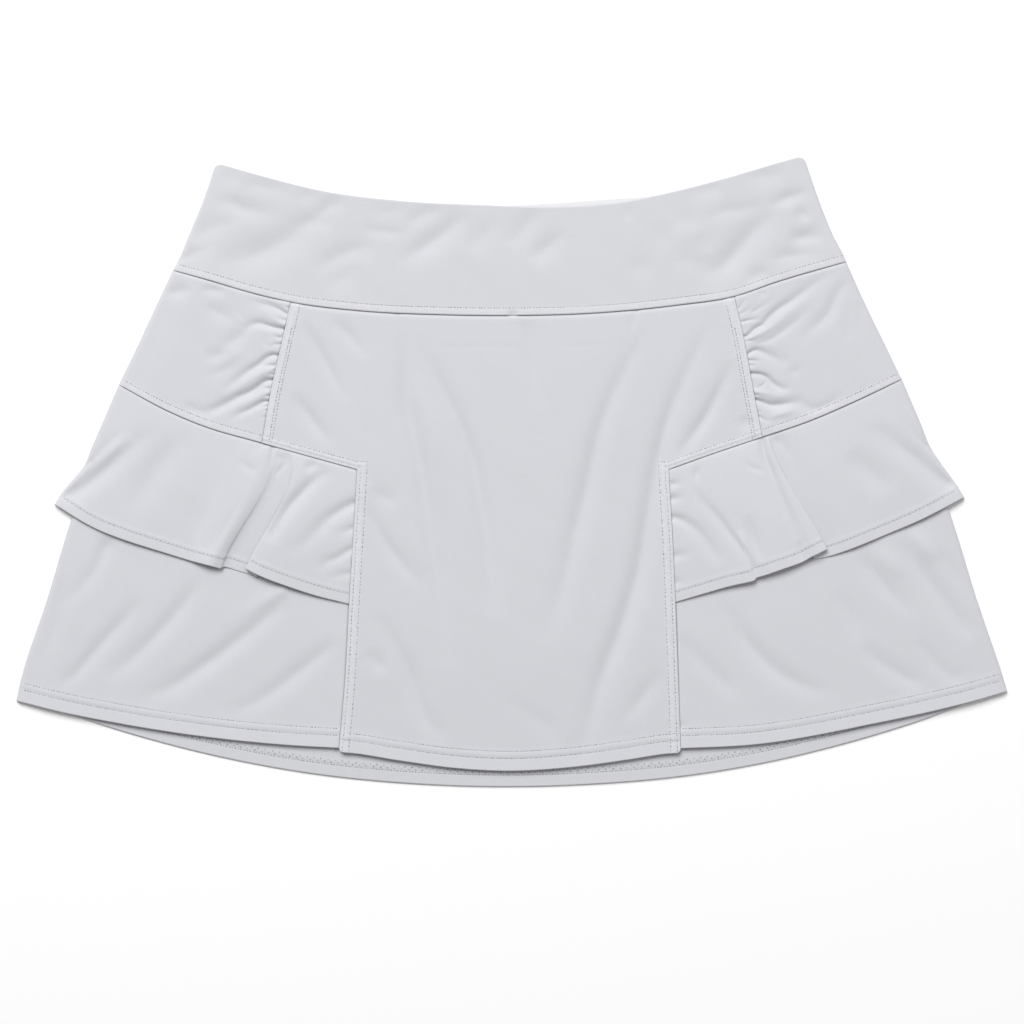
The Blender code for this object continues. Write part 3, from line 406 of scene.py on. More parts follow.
GATHER_SPREAD = 1.15  # and for the gathers
WAIST_DEPTH = 0.98  # of the waistband's creases, as a share of the depth set for all
LOWER_DEPTH = 0.65
FLOUNCE_DEPTH = 1.1
BACK_DEPTH = 0.4

Side = namedtuple("Side", "name out band yoke gather gathers yoke_seam flounce waves lower panel")
SIDES = (
    Side("left", -1, BAND_SIDE_LEFT, YOKE_SIDE_LEFT, GATHER_LEFT, GATHERS_LEFT, YOKE_SEAM_LEFT,
         FLOUNCE_SIDE_LEFT, FLOUNCE_LEFT, LOWER_SIDE_LEFT, PANEL_SIDE_LEFT),
    Side("right", 1, BAND_SIDE_RIGHT, YOKE_SIDE_RIGHT, GATHER_RIGHT, GATHERS_RIGHT,
         YOKE_SEAM_RIGHT, FLOUNCE_SIDE_RIGHT, FLOUNCE_RIGHT, LOWER_SIDE_RIGHT, PANEL_SIDE_RIGHT),
)

# Relief of seams and hems. Distances are from the seam or the edge.
SEAM_GAP = 0.12
SEAM_RUN = 0.6  # over which the cloth turns down into a seam
BAND_RISE = 0.14  # of the cloth over an allowance that is pressed under it
STRIP_PUFF = 0.182  # between the two rows of a strip of the centre panel
BAND_TILT = 0.36  # of the cloth from a row of topstitching up to the seam
SHOULDER = 0.7  # over which the cloth comes down beside an allowance
TOPSTITCH = 4.7  # waist seam and yoke seams
TOPSTITCH_TONE = 0.6  # how much lighter the cloth beside it is painted over the allowance: partly the double cloth, partly painted light on the raised band
ALLOWANCE_EDGE = 0.5  # of an allowance, past the row that holds it
EDGE_LINE = 1.6  # a pressed line close to a topstitched seam
EDGE_LINE_DEPTH = 0.16
GATHER_ROW = 6.2
GATHER_INNER_ROW = 4.4
BAND_ROWS = (2.2, 6.3)  # beside the lower part of the centre panel
HEM_ROWS = (7.9, 12.3)
HEM_TURN = 13.2
HEM_TONE = 0.15  # how much lighter a turned hem is painted, for its double cloth and as painted light, where a seam strip takes 1
HEM_SWELL = 0.4  # of a hem at its edge
HEM_PUFF = 0.16  # of the same between its rows
FLOUNCE_ROW = 6.0
FLOUNCE_TURN = 8.4
FLOUNCE_HEM_SWELL = 0.1
BACK_ROWS = (7.3, 11.6)  # the coverstitch inside the back hem
BACK_HEM_SWELL = 0.2
BACK_HEM_PUFF = 0.12
TURN_EDGE = 0.6  # of a turned hem, past its last row
GROOVE = 0.12  # depth of the cloth under a row of stitches
GROOVE_HALF = 0.5
EDGE_ROUND = 0.5  # of a folded edge
PUCKER = 0.05  # of the cloth beside a row of stitches
PUCKER_RUN = 2.4
AWAY = 99.0  # stands for the distance from a seam where that seam has no effect

# How deep each piece turns down into its seams, and over what run where it isn't SEAM_RUN
WAIST_DIP = 0.5
CENTRE_WAIST_DIP = (0.8, 1.2)
CENTRE_GATHER_DIP = (0.12, 0.4)
CENTRE_SIDE_DIP = 0.3
YOKE_WAIST_DIP = (0.7, 1.0)
YOKE_GATHER_DIP = (0.45, 0.5)
YOKE_SEAM_DIP = 0.4
LOWER_SIDE_DIP = 0.4
FLOUNCE_SEAM_DIP = (0.4, 1.0)
FLOUNCE_SIDE_DIP = 0.3

# Where the strips and rows of stitches end. A pair is x from left to right.
STRIP_X = 60.0  # the strips over the yoke seams lie outside it
STRIP_Y = 15.0  # the strips beside the gathers lie above it
BACK_ROW_ENDS = (-300.0, 300.0)
WAIST_ROW_ENDS = (-209.6, 207.4)
CENTRE_HEM_ENDS = (-106.6, 104.2)
GATHER_STARTS = {GATHER_INNER_ROW: 92.0, GATHER_ROW: 106.0}  # y of each row
GATHER_END = 21.0
BAND_STARTS = (0.0, 4.6)  # how far above the corner each of BAND_ROWS starts
BAND_END = -174.0
STEP_ROW = 1.04 * TOPSTITCH  # over the yoke seam, on the centre panel
STEP_INSET = 0.8
YOKE_ROW_INSET = 0.6
LOWER_ROW_INSETS = (4.0, 1.4)  # from the skirt's side and from the centre panel
FLOUNCE_ROW_INSETS = (0.12, 0.02)  # the same, in waves

# About how far each grid reaches, down and for the centre panel also across
BACK_DEEP = 285.0
WAIST_DEEP = 69.0
YOKE_DEEP = 84.0
LOWER_DEEP = 190.0
FLOUNCE_DEEP = 80.0
UPPER_DEEP, BELOW_DEEP = 100.0, 182.0  # the centre panel's wide top and its lower part
WING_WIDE, MIDDLE_WIDE = 50.0, 195.0

# Steps of the grids, in from an edge with a seam or hem and between those
FINE = (0.3, 0.6, 0.95, 1.35, 1.7, 2.1, 2.6, 3.2, 3.8, 4.35, 4.75, 5.2, 5.8, 6.3, 6.9, 7.4, 7.9,
        8.4, 9.2, 10.3, 11.3, 11.8, 12.3, 12.8, 13.6)
TO_ROW = FINE[:15]
TO_TURN = FINE[:18]
EDGE = (0.18, 0.4, 0.7, 1.1, 1.7, 2.6)
CROWDED = (0.2, 0.45, 0.75, 1.1, 1.5, 2.0, 2.6, 3.3, 4.1, 5.0, 6.0, 7.2, 8.4, 9.6, 10.8, 12.0,
           13.2, 14.6, 16.0)  # in from the gathers
STEP = 1.7
FLOUNCE_STEPS = 8  # columns from wave to wave
FLOUNCE_ENDING = (0.92, 0.84, 0.76, 0.68, 0.6, 0.52, 0.44, 0.36, 0.28, 0.21, 0.15, 0.1, 0.06,
                  0.04, 0.02, 0.01, 0.0)  # in the last wave, from the centre panel

# The knit and the thread. A grain is how far a piece's wales are turned, in radians.
WALE_PITCH = 0.00042
COURSE_PITCH = 0.00036
YOKE_GRAIN = 0.3
LOWER_GRAIN = 0.12
FLOUNCE_GRAIN = 0.35
FRONT_SHEEN = 0.12
BACK_SHEEN = 0.06
THREAD_LIFT = 0.02
THREAD_BEND = 0.12
# Each needle hole gets a dark oval just over the cloth: painted shade
HOLE_LIFT = 0.03
HOLE_STRETCH = 1.9  # length of the painted shade of a needle hole, for its width
BACK_ZIGZAG = (1.7, 1.2)  # pitch and thread length of the back's row, times the zigzag pitch
BACK_ZIGZAG_WIDE = 1.4
FLOUNCE_ZIGZAG = 0.9  # thread length of the flounces' row, times the zigzag pitch
FLOUNCE_ZIGZAG_WIDE = 0.8

KEY_PLACE = (-0.9, 2.6, 3.5)
KEY_SIZE = 2.4
FILL_PLACE = (2.2, 0.9, 2.6)
FILL_SIZE = 2.0
FLOOR_SIZE = 8.0
FLOOR_DROP = 0.0004  # of the floor below the cloth
CAMERA_AIM = (0.000125, -0.0245)
LENS, SENSOR = 100.0, 36.0


def smooth(at, value):
    """A smooth line through values at rising or falling places, as a function of the place."""
    order = np.argsort(at)
    at, value = np.asarray(at, float)[order], np.asarray(value, float)[order]
    slope = np.gradient(value, at)

    def read(place):
        place = np.clip(place, at[0], at[-1])
        i = np.clip(np.searchsorted(at, place) - 1, 0, len(at) - 2)
        step = at[i + 1] - at[i]
        t = (place - at[i]) / step
        values = (1 + 2 * t) * (1 - t) ** 2 * value[i] + t * t * (3 - 2 * t) * value[i + 1]
        return values + step * t * (1 - t) * ((1 - t) * slope[i] - t * slope[i + 1])

    return read


def y_of(knots, shift=0.0):
    """A line across the skirt: y as a function of x."""
    line = smooth(*zip(*knots))
    return lambda x: line(x) + shift


def x_of(knots, shift=0.0):
    """A line down the skirt: x as a function of y."""
    line = smooth(*reversed(list(zip(*knots))))
    return lambda y: line(y) + shift


def across(line, start, end):
    """The stretch of a line across from x = start to end, for t from 0 to 1."""

    def read(t):
        x = start + (end - start) * np.asarray(t)
        return x + 1j * line(x)

    return read


def down(line, start, end):
    """The stretch of a line down from y = start to end, for t from 0 to 1."""

    def read(t):
        y = start + (end - start) * np.asarray(t)
        return line(y) + 1j * y

    return read


def straight(start, end):
    return lambda t: start + (end - start) * np.asarray(t)


def rounded(line, radius, turn):
    """A stretch of a line across with rounded ends, turned up (turn 1) or down (turn -1)."""
    first, last = line(0).real, line(1).real

    def read(t):
        points = line(t)
        inward = np.minimum(points.real - first, last - points.real)
        short = np.clip(1 - inward / radius, 0, 1)
        return points + turn * 1j * radius * (1 - np.sqrt(1 - short**2))

    return read


def sides_of(top, bottom, *lines):
    """The stretches of two lines down, between the ends of a top and those of a bottom."""
    return [down(line, top(end).imag, bottom(end).imag) for end, line in enumerate(lines)]


def moved_in(knots, side, inset):
    """A line down on one side, moved in from the skirt's edge."""
    return [(x - side.out * inset, y) for x, y in knots]


def between(top, bottom, first, last, t, v):
    """Points inside four edges: t runs from the first to the last and v from top to bottom."""
    corners = (1 - v) * ((1 - t) * top(0) + t * top(1)) + v * ((1 - t) * bottom(0) + t * bottom(1))
    return (1 - v) * top(t) + v * bottom(t) + (1 - t) * first(v) + t * last(v) - corners


def ease(t):
    t = np.clip(t, 0, 1)
    return t * t * (3 - 2 * t)


def spaced(length, first=(), last=(), step=STEP):
    """Distances from 0 to length, at these distances in from each end and evenly between."""
    length = np.atleast_1d(np.asarray(length, float)).reshape(-1, 1)
    near = np.broadcast_to(np.array([0.0, *first]), (len(length), len(first) + 1))
    far = length - np.array([0.0, *last])[::-1]
    start, end = near[:, -1:], far[:, :1]
    count = max(1, round(float(np.mean(end - start)) / step))
    inside = start + (end - start) * np.linspace(0, 1, count + 1)[None, 1:-1]
    return np.hstack([near, inside, far])


def shares(length, first=(), last=(), step=STEP):
    """The same distances as shares of the length."""
    return spaced(length, first, last, step) / length


def above(plan, line):
    """How far points lie above a line across the skirt, square to it."""
    x = plan.real
    slope = line(x + 0.5) - line(x - 0.5)
    return (plan.imag - line(x)) / np.sqrt(1 + slope**2)


def right_of(plan, line):
    """How far points lie to the right of a line down the skirt, square to it."""
    y = plan.imag
    slope = line(y + 0.5) - line(y - 0.5)
    return (plan.real - line(y)) / np.sqrt(1 + slope**2)


def side_rise(inward):
    """Share of its crown that the front reaches at a distance in from its folded side."""
    roll = np.sqrt(1 - (1 - np.clip(inward / SIDE_ROLL, 0, 1)) ** 2)
    return SIDE_ROLL_SHARE * roll + (1 - SIDE_ROLL_SHARE) * ease(inward / SIDE_SHOULDER)


def roll_steps():
    """Distances in from a folded side over its roll, after the standing step."""
    return (0.0, *(SIDE_ROLL * (1 - np.cos(np.linspace(0, math.pi / 2, 9)))[1:]))


def front_height(inward, crown, relief):
    """Height of the front, whose first column stands on the floor at the folded side."""
    height = SIDE_STAND + (crown - SIDE_STAND + relief) * side_rise(inward)
    height[:, 0] = 0
    return height


def fold_height(plan, fold, spread):
    """What one fold adds to the height of the cloth at points of the plan."""
    knots = np.array([complex(*point) for point in fold.path])
    index = np.arange(len(knots))
    pieces = STEPS_BETWEEN * (len(knots) - 1)
    place = np.linspace(0, len(knots) - 1, pieces + 1)
    path = smooth(index, knots.real)(place) + 1j * smooth(index, knots.imag)(place)
    nearest = np.full(plan.shape, np.inf)
    along = np.zeros(plan.shape)
    for step, (start, end) in enumerate(zip(path, path[1:])):
        run = end - start
        share = np.clip(((plan - start) * run.conjugate()).real / abs(run) ** 2, 0, 1)
        gap = abs(plan - start - share * run)
        along = np.where(gap < nearest, (step + share) / pieces, along)
        nearest = np.minimum(nearest, gap)
    half_width = spread * (fold.start + (fold.end - fold.start) * along)
    fade = 1 - along**fold.root if fold.root else np.sin(math.pi * along).clip(0)
    return fold.height * fade * np.exp(-((nearest / half_width) ** CREASE_POWER))


def folds_height(plan, folds, strength, spread=CREASE_SPREAD):
    return strength * sum(fold_height(plan, fold, spread) for fold in folds)


def mottle(plan):
    """The slight unevenness that cloth keeps when it is smoothed by hand."""
    x, y = plan.real, plan.imag
    return 0.05 * (
        np.sin(x / 7.9 + 1.1 * np.sin(y / 13.7))
        + np.sin(y / 9.3 + 1.3 * np.sin(x / 17.1 + 0.6))
        + 0.6 * np.sin((x + 1.4 * y) / 6.1 + np.sin((x - y) / 21.0))
    )


def plateau(distance, width):
    """1 within a width of a seam and 0 beyond it, with a soft shoulder."""
    return 1 - ease((distance - width + SHOULDER) / (2 * SHOULDER))


def swelling(distance, start, end):
    """A round swelling from a start to an end, 1 high."""
    return np.sin(math.pi * np.clip((distance - start) / (end - start), 0, 1))


def groove(distance, row, depth=GROOVE):
    return -depth * np.exp(-(((distance - row) / GROOVE_HALF) ** 2))


def dip(distance, depth, run=SEAM_RUN):
    """The cloth turning down into a seam."""
    return -depth * np.exp(-((np.clip(distance, 0, None) / run) ** 2))


def edge_drop(distance):
    """The cloth rounding over a folded edge."""
    short = 1 - np.clip(distance / EDGE_ROUND, 0, 1)
    return -EDGE_ROUND * (1 - np.sqrt(1 - short**2))


def puckers(along, distance, row):
    """Small uneven puckers beside a row of stitches."""
    wave = np.sin(along / 1.31 + 2 * np.sin(along / 9.7)) + 0.7 * np.sin(along / 2.23 + 1.2)
    return PUCKER * wave * np.exp(-(((distance - row) / PUCKER_RUN) ** 2))


def topstitched(distance, along, depth):
    """Relief beside a seam whose allowance is pressed under and topstitched."""
    rise = BAND_RISE * plateau(distance, TOPSTITCH + ALLOWANCE_EDGE)
    rise = rise + groove(distance, TOPSTITCH)
    rise = rise + BAND_TILT * np.clip(1 - distance / TOPSTITCH, 0, 1)
    rise = rise + groove(distance, EDGE_LINE, EDGE_LINE_DEPTH / 2)
    return rise + puckers(along, distance, TOPSTITCH) + dip(distance, depth)


def hemmed(distance, along):
    """Relief of a hem with its turning and two rows of stitches."""
    height = HEM_SWELL * np.clip(1 - distance / HEM_ROWS[0], 0, 1) + edge_drop(distance)
    height += HEM_PUFF * swelling(distance, *HEM_ROWS) + BAND_RISE * plateau(distance, HEM_TURN)
    for row in HEM_ROWS:
        height += groove(distance, row) + puckers(along, distance, row)
    return height


def tinted(tree, share, colour, dark, light):
    """The surface takes a colour, from a darker to a lighter tone of it by a share."""
    tint = tree.nodes.new("ShaderNodeMix")
    tint.data_type = "RGBA"
    tree.links.new(share, tint.inputs[0])
    for socket, tone in ((6, dark), (7, light)):
        tint.inputs[socket].default_value = (*(min(1.0, tone * part) for part in colour), 1.0)
    tree.links.new(tint.outputs[2], tree.nodes["Principled BSDF"].inputs["Base Color"])


def knit_nodes(material, colour, grain, sheen):
    """A fine jersey: wales and courses as bump, faint heathering, a soft sheen, and a lighter
    tone where the cloth lies double, partly for the double cloth and partly painted light on
    raised strips and hems."""
    material.use_nodes = True
    tree = material.node_tree
    shader = tree.nodes["Principled BSDF"]
    shader.inputs["Roughness"].default_value = 0.72
    shader.inputs["Specular IOR Level"].default_value = 0.28
    shader.inputs["Sheen Weight"].default_value = sheen
    shader.inputs["Sheen Roughness"].default_value = 0.45

    def add(kind, **settings):
        node = tree.nodes.new(kind)
        for name, value in settings.items():
            setattr(node, name, value)
        return node

    def calculate(operation, first, second=None):
        node = add("ShaderNodeMath", operation=operation)
        for socket, value in zip(node.inputs, (first, second)):
            if isinstance(value, bpy.types.NodeSocket):
                tree.links.new(value, socket)
            elif value is not None:
                socket.default_value = value
        return node.outputs[0]

    def noise(scale, detail=2.0):
        texture = add("ShaderNodeTexNoise")
        texture.inputs["Scale"].default_value = scale
        texture.inputs["Detail"].default_value = detail
        tree.links.new(place, texture.inputs["Vector"])
        return texture.outputs[0]

    place = add("ShaderNodeTexCoord").outputs["Object"]
    turned = add("ShaderNodeMapping")
    turned.inputs["Rotation"].default_value = (0.0, 0.0, grain)
    tree.links.new(place, turned.inputs["Vector"])
    split = add("ShaderNodeSeparateXYZ")
    tree.links.new(turned.outputs[0], split.inputs[0])
    wale = calculate("MULTIPLY", split.outputs["X"], 1 / WALE_PITCH)
    course = calculate("MULTIPLY", split.outputs["Y"], 1 / COURSE_PITCH)
    leg = calculate("PINGPONG", wale, 0.5)
    rib = calculate("SINE", calculate("MULTIPLY", leg, 2 * math.pi))
    slant = calculate("ADD", course, calculate("MULTIPLY", leg, 0.9))
    loop = calculate("SINE", calculate("MULTIPLY", slant, 2 * math.pi))
    height = calculate("ADD", rib, calculate("MULTIPLY", loop, 0.6))

    fuzz, speckle, broad = noise(1100.0, 3.0), noise(620.0), noise(9.0)
    height = calculate("ADD", height, calculate("MULTIPLY", fuzz, 1.6))
    bump = add("ShaderNodeBump")
    bump.inputs["Strength"].default_value = 0.35
    bump.inputs["Distance"].default_value = 0.00006
    tree.links.new(height, bump.inputs["Height"])
    tree.links.new(bump.outputs[0], shader.inputs["Normal"])

    # Where the cloth lies double its colour is painted lighter and mottled: partly the double
    # cloth's own look, partly painted light that raised strips and hems catch
    doubled_and_lit = add("ShaderNodeAttribute", attribute_name="doubled_and_lit")
    tone = calculate("ADD", calculate("MULTIPLY", fuzz, 0.30),
                     calculate("MULTIPLY", broad, 0.06))
    lighter = calculate("SUBTRACT", speckle, 0.3)
    tone = calculate("ADD", tone, calculate("MULTIPLY", doubled_and_lit.outputs["Fac"], lighter))
    tinted(tree, calculate("ADD", tone, 0.32), colour, 0.86, 1.14)


def knit(name, colour, grain=0.0, sheen=FRONT_SHEEN):
    material = bpy.data.materials.new(name)
    knit_nodes(material, colour, grain, sheen)
    return material


def thread_material(name, colour, roughness):
    """Sewing thread, slightly uneven along its length."""
    material = bpy.data.materials.new(name)
    material.use_nodes = True
    tree = material.node_tree
    shader = tree.nodes["Principled BSDF"]
    shader.inputs["Roughness"].default_value = roughness
    place = tree.nodes.new("ShaderNodeTexCoord").outputs["Object"]
    noise = tree.nodes.new("ShaderNodeTexNoise")
    noise.inputs["Scale"].default_value = 2400.0
    tree.links.new(place, noise.inputs["Vector"])
    tinted(tree, noise.outputs[0], colour, 0.9, 1.08)
    return material


def shared_material(name):
    """The materials that several pieces take, made the first time that one asks."""
    colours = bpy.context.scene.skirt_colours
    if name in bpy.data.materials:
        return bpy.data.materials[name]
    if name == "thread":
        return thread_material(name, colours.thread, 0.55)
    # The needle holes' dark is painted shade, on the thread's kind of material
    return thread_material(name, colours.painted_hole_shade, 0.9)


def sheet_object(name, patches, wall, material):
    """A thin sheet whose upper surface is made of patches: grids of plan points, of heights and
    of where the cloth is double and painted lighter (partly painted light on raised strips and
    hems), with rows from the waist down and columns from the left. It thickens inwards."""
    shape = bmesh.new()
    layer = shape.verts.layers.float.new("doubled_and_lit")
    for plan, height, doubled_and_lit in patches:
        rows = []
        for line in zip(plan, height, doubled_and_lit):
            rows.append([])
            for point, z, double in zip(*line):
                corner = shape.verts.new((point.real * MM, point.imag * MM, z * MM))
                corner[layer] = double
                rows[-1].append(corner)
        for upper, lower in zip(rows, rows[1:]):
            for corners in zip(upper, lower, lower[1:], upper[1:]):
                shape.faces.new(corners).smooth = True
    bmesh.ops.remove_doubles(shape, verts=shape.verts, dist=1e-6)
    mesh = bpy.data.meshes.new(name)
    shape.to_mesh(mesh)
    shape.free()
    mesh.materials.append(material)
    piece = bpy.data.objects.new(name, mesh)
    bpy.context.scene.collection.objects.link(piece)
    thickness = piece.modifiers.new("wall", "SOLIDIFY")
    thickness.thickness = wall
    thickness.offset = -1.0
    return piece


def dressed(piece, node, with_pieces=()):
    """The piece takes its solid's place: it and the pieces with it hang under the root, and the
    solid is hidden.
    """
    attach(piece, "root")
    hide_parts(node)
    for part in with_pieces:
        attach(part, "root")


def from_left(side, *parts):
    """A patch is made from the skirt's side inwards, and one on the right is turned round."""
    return parts if side.out < 0 else tuple(part[:, ::-1] for part in parts)


# ---- stitching

Row = namedtuple("Row", "points normals pitch length zigzag")


def surface_of(patches):
    """The upper surface of a sheet, for finding its height at a point of the plan."""
    points, faces = [], []
    for plan, height, _ in patches:
        first = len(points)
        count = plan.shape[1]
        points += [(p.real, p.imag, z) for p, z in zip(plan.ravel(), height.ravel())]
        for i in range(plan.shape[0] - 1):
            for j in range(count - 1):
                a = first + i * count + j
                faces.append((a, a + count, a + count + 1, a + 1))
    return BVHTree.FromPolygons(points, faces)


def row_on(surface, path, pitch, length, zigzag=0.0):
    """A row of stitches laid along a path of the plan, on top of a surface."""
    points, normals = [], []
    for point in path:
        hit, normal, _, _ = surface.ray_cast(Vector((point.real, point.imag, 60.0)),
                                             Vector((0.0, 0.0, -1.0)))
        if hit is not None:
            points.append(hit)
            normals.append(normal if normal.z > 0 else -normal)
    return Row(np.array(points), np.array(normals), pitch, length, zigzag)


def row_through(surface, points, pitch, length, zigzag):
    """A row of stitches through points in space, brought to the nearest place of a surface."""
    found = [surface.find_nearest(Vector(point))[:2] for point in points]
    places, normals = (np.array(column) for column in zip(*found))
    return Row(places, normals, pitch, length, zigzag)


def line_path(read):
    """Close points along a line for t from 0 to 1."""
    rough = read(np.linspace(0, 1, 200))
    total = abs(np.diff(rough)).sum()
    return read(np.linspace(0, 1, max(8, int(total / 0.7))))


def plain_row(surface, line, stitch, pitch=None):
    """Straight stitches along a line, at the skirt's own pitch or another one."""
    pitch = (pitch or stitch.pitch) / MM
    return row_on(surface, line_path(line), pitch, pitch * stitch.share)


def form_of(made):
    """The points and faces of an object that is copied many times, which is then removed."""
    points = np.array([vertex.co[:] for vertex in made.data.vertices])
    faces = [tuple(face.vertices) for face in made.data.polygons]
    bpy.data.objects.remove(made)
    return points, faces


def one_stitch(length, radius):
    """A stitch along X, shaped as a slim grain whose ends bend down into the cloth."""
    bpy.ops.object.select_all(action="DESELECT")
    bpy.ops.mesh.primitive_uv_sphere_add(segments=6, ring_count=4, radius=1.0,
                                         rotation=(0.0, math.pi / 2, 0.0),
                                         scale=(radius, radius, length / 2))
    bpy.ops.object.transform_apply(location=True, rotation=True, scale=True)
    points, faces = form_of(bpy.context.object)
    points[:, 2] -= THREAD_BEND * (2 * points[:, 0] / length) ** 2
    return points, faces


def painted_hole_shade(radius):
    """Painted shade of a needle hole: a small dark oval in the plane of the cloth, along the row.
    """
    bpy.ops.object.select_all(action="DESELECT")
    bpy.ops.mesh.primitive_circle_add(vertices=8, radius=radius, fill_type="TRIFAN")
    points, faces = form_of(bpy.context.object)
    points[:, 0] *= HOLE_STRETCH
    return points, faces


def placed(points, centre, along, aside, up, size):
    """Copies of a form at many places, each with its own axes and size."""
    x, y, z = (size[:, None] * column[None, :] for column in points.T)
    return (centre[:, None, :] + x[..., None] * along[:, None, :]
            + y[..., None] * aside[:, None, :] + z[..., None] * up[:, None, :])


def row_stations(row):
    """Places of the stitches of a row: centres, directions along, aside and up, and the holes
    where the painted shade goes.
    """
    steps = np.linalg.norm(np.diff(row.points, axis=0), axis=1)
    run = np.concatenate([[0.0], np.cumsum(steps)])
    count = int(run[-1] / row.pitch)
    order = np.arange(count)
    at = (order + 0.5 + 0.14 * np.sin(2.4 * order)) * run[-1] / count

    def read(values, place):
        return np.stack([np.interp(place, run, values[:, k]) for k in range(3)], axis=1)

    centre = read(row.points, at)
    half = row.length / 2
    along = read(row.points, at + half) - read(row.points, at - half)
    along /= np.linalg.norm(along, axis=1)[:, None]
    up = read(row.normals, at)
    up -= (up * along).sum(axis=1)[:, None] * along
    up /= np.linalg.norm(up, axis=1)[:, None]
    aside = np.cross(up, along)
    hole = read(row.points, at + row.pitch / 2)
    if row.zigzag:
        sway = np.where(order % 2, 1.0, -1.0)[:, None]
        hole = hole + aside * sway * row.zigzag / 2
        along = along + aside * sway * row.zigzag / row.length
        along /= np.linalg.norm(along, axis=1)[:, None]
        aside = np.cross(up, along)
    return centre, along, aside, up, hole


def stitching(name, rows, stitch):
    """All stitches of a piece as one joined mesh, each with the painted shade of its needle hole
    beside it.
    """
    points, faces, slots = [], [], []
    first = 0
    chance = np.random.default_rng(5)
    for row in rows:
        centre, along, aside, up, hole = row_stations(row)
        grain, grain_faces = one_stitch(row.length, stitch.thread_radius / MM)
        hole_shade, hole_shade_faces = painted_hole_shade(stitch.hole_shade_radius / MM)
        even = np.ones(len(centre))
        uneven = chance.uniform(0.7, 1.2, len(centre))
        threads = placed(grain, centre + up * THREAD_LIFT, along, aside, up, even)
        hole_shades = placed(hole_shade, hole + up * HOLE_LIFT, along, aside, up, uneven)
        for copies, form, slot in ((threads, grain_faces, 0), (hole_shades, hole_shade_faces, 1)):
            size = copies.shape[1]
            for copy in copies:
                points += [tuple(point * MM) for point in copy]
                faces += [tuple(first + corner for corner in face) for face in form]
                slots += [slot] * len(form)
                first += size
    mesh = bpy.data.meshes.new(name)
    mesh.from_pydata(points, [], faces)
    mesh.materials.append(shared_material("thread"))
    mesh.materials.append(shared_material("painted_hole_shade"))
    mesh.polygons.foreach_set("material_index", slots)
    mesh.polygons.foreach_set("use_smooth", [True] * len(faces))
    piece = bpy.data.objects.new(name, mesh)
    bpy.context.scene.collection.objects.link(piece)
    return piece


class SkirtSizes(bpy.types.PropertyGroup):
    cloth: bpy.props.FloatProperty(
        name="Cloth", description="Thickness of the knit", default=0.0006, min=0.0003,
        unit="LENGTH", subtype="DISTANCE", precision=4)
    band: bpy.props.FloatProperty(
        name="Waistband", description="Thickness of the doubled waistband", default=0.0011,
        min=0.0004, unit="LENGTH", subtype="DISTANCE", precision=4)
    creases: bpy.props.FloatProperty(
        name="Creases", description="Depth of the creases, as a share of the heights listed",
        default=2.1, min=0.0, max=2.5, subtype="FACTOR")
    gathers: bpy.props.FloatProperty(
        name="Gathers", description="Depth of the gathers, as a share of the heights listed",
        default=0.95, min=0.0, max=1.5, subtype="FACTOR")
    puff: bpy.props.FloatProperty(
        name="Puff", description="How far a yoke swells beside its gathers", default=0.00035,
        min=0.0, unit="LENGTH", subtype="DISTANCE", precision=4)


class StitchSizes(bpy.types.PropertyGroup):
    thread_radius: bpy.props.FloatProperty(
        name="Thread radius", description="Half the thickness of a stitch", default=0.0002,
        min=0.0001, unit="LENGTH", subtype="DISTANCE", precision=5)
    # Size of the dark oval of painted shade at each needle hole
    hole_shade_radius: bpy.props.FloatProperty(
        name="Hole radius", description="Half the width of a needle hole", default=0.00032,
        min=0.0001, unit="LENGTH", subtype="DISTANCE", precision=5)
    pitch: bpy.props.FloatProperty(
        name="Pitch", description="Length of a stitch and its gap", default=0.0019, min=0.001,
        unit="LENGTH", subtype="DISTANCE", precision=4)
    band_pitch: bpy.props.FloatProperty(
        name="Band pitch", description="The same beside the centre panel's lower part",
        default=0.0024, min=0.001, unit="LENGTH", subtype="DISTANCE", precision=4)
    hem_pitch: bpy.props.FloatProperty(
        name="Zigzag pitch", description="The same in the zigzag rows of the flounces and back",
        default=0.0013, min=0.0008, unit="LENGTH", subtype="DISTANCE", precision=4)
    share: bpy.props.FloatProperty(
        name="Thread share", description="Share of the pitch that the thread shows",
        default=0.52, min=0.3, max=0.95, subtype="FACTOR")


class SkirtColours(bpy.types.PropertyGroup):
    knit: bpy.props.FloatVectorProperty(
        name="Knit", description="Right side of the knit", default=(0.630, 0.634, 0.669),
        min=0.0, max=1.0, subtype="COLOR")
    # A touch lighter than the knit: partly its double cloth, partly painted light of the waist
    # side, nearer the key light
    waist: bpy.props.FloatVectorProperty(
        name="Waistband", description="Right side of the waistband's double knit",
        default=(0.633, 0.637, 0.669), min=0.0, max=1.0, subtype="COLOR")
    # A touch darker than the knit: partly the duller wrong side, partly painted shade of the front
    # lying over the back
    inside: bpy.props.FloatVectorProperty(
        name="Inside", description="Wrong side of the knit", default=(0.62, 0.624, 0.656),
        min=0.0, max=1.0, subtype="COLOR")
    # Painted highlight: the inside of the back waistband is coloured far lighter than the knit,
    # for the light that falls on its crescent
    painted_light_lining: bpy.props.FloatVectorProperty(
        name="Lining", description="Inside of the waistband", default=(0.74, 0.742, 0.757),
        min=0.0, max=1.0, subtype="COLOR")
    thread: bpy.props.FloatVectorProperty(
        name="Thread", description="Sewing thread", default=(0.64, 0.643, 0.67),
        min=0.0, max=1.0, subtype="COLOR")
    # Painted shade: the dark that falls into each needle hole and beside its thread
    painted_hole_shade: bpy.props.FloatVectorProperty(
        name="Needle holes", description="The dark of a needle hole", default=(0.27, 0.272, 0.30),
        min=0.0, max=1.0, subtype="COLOR")


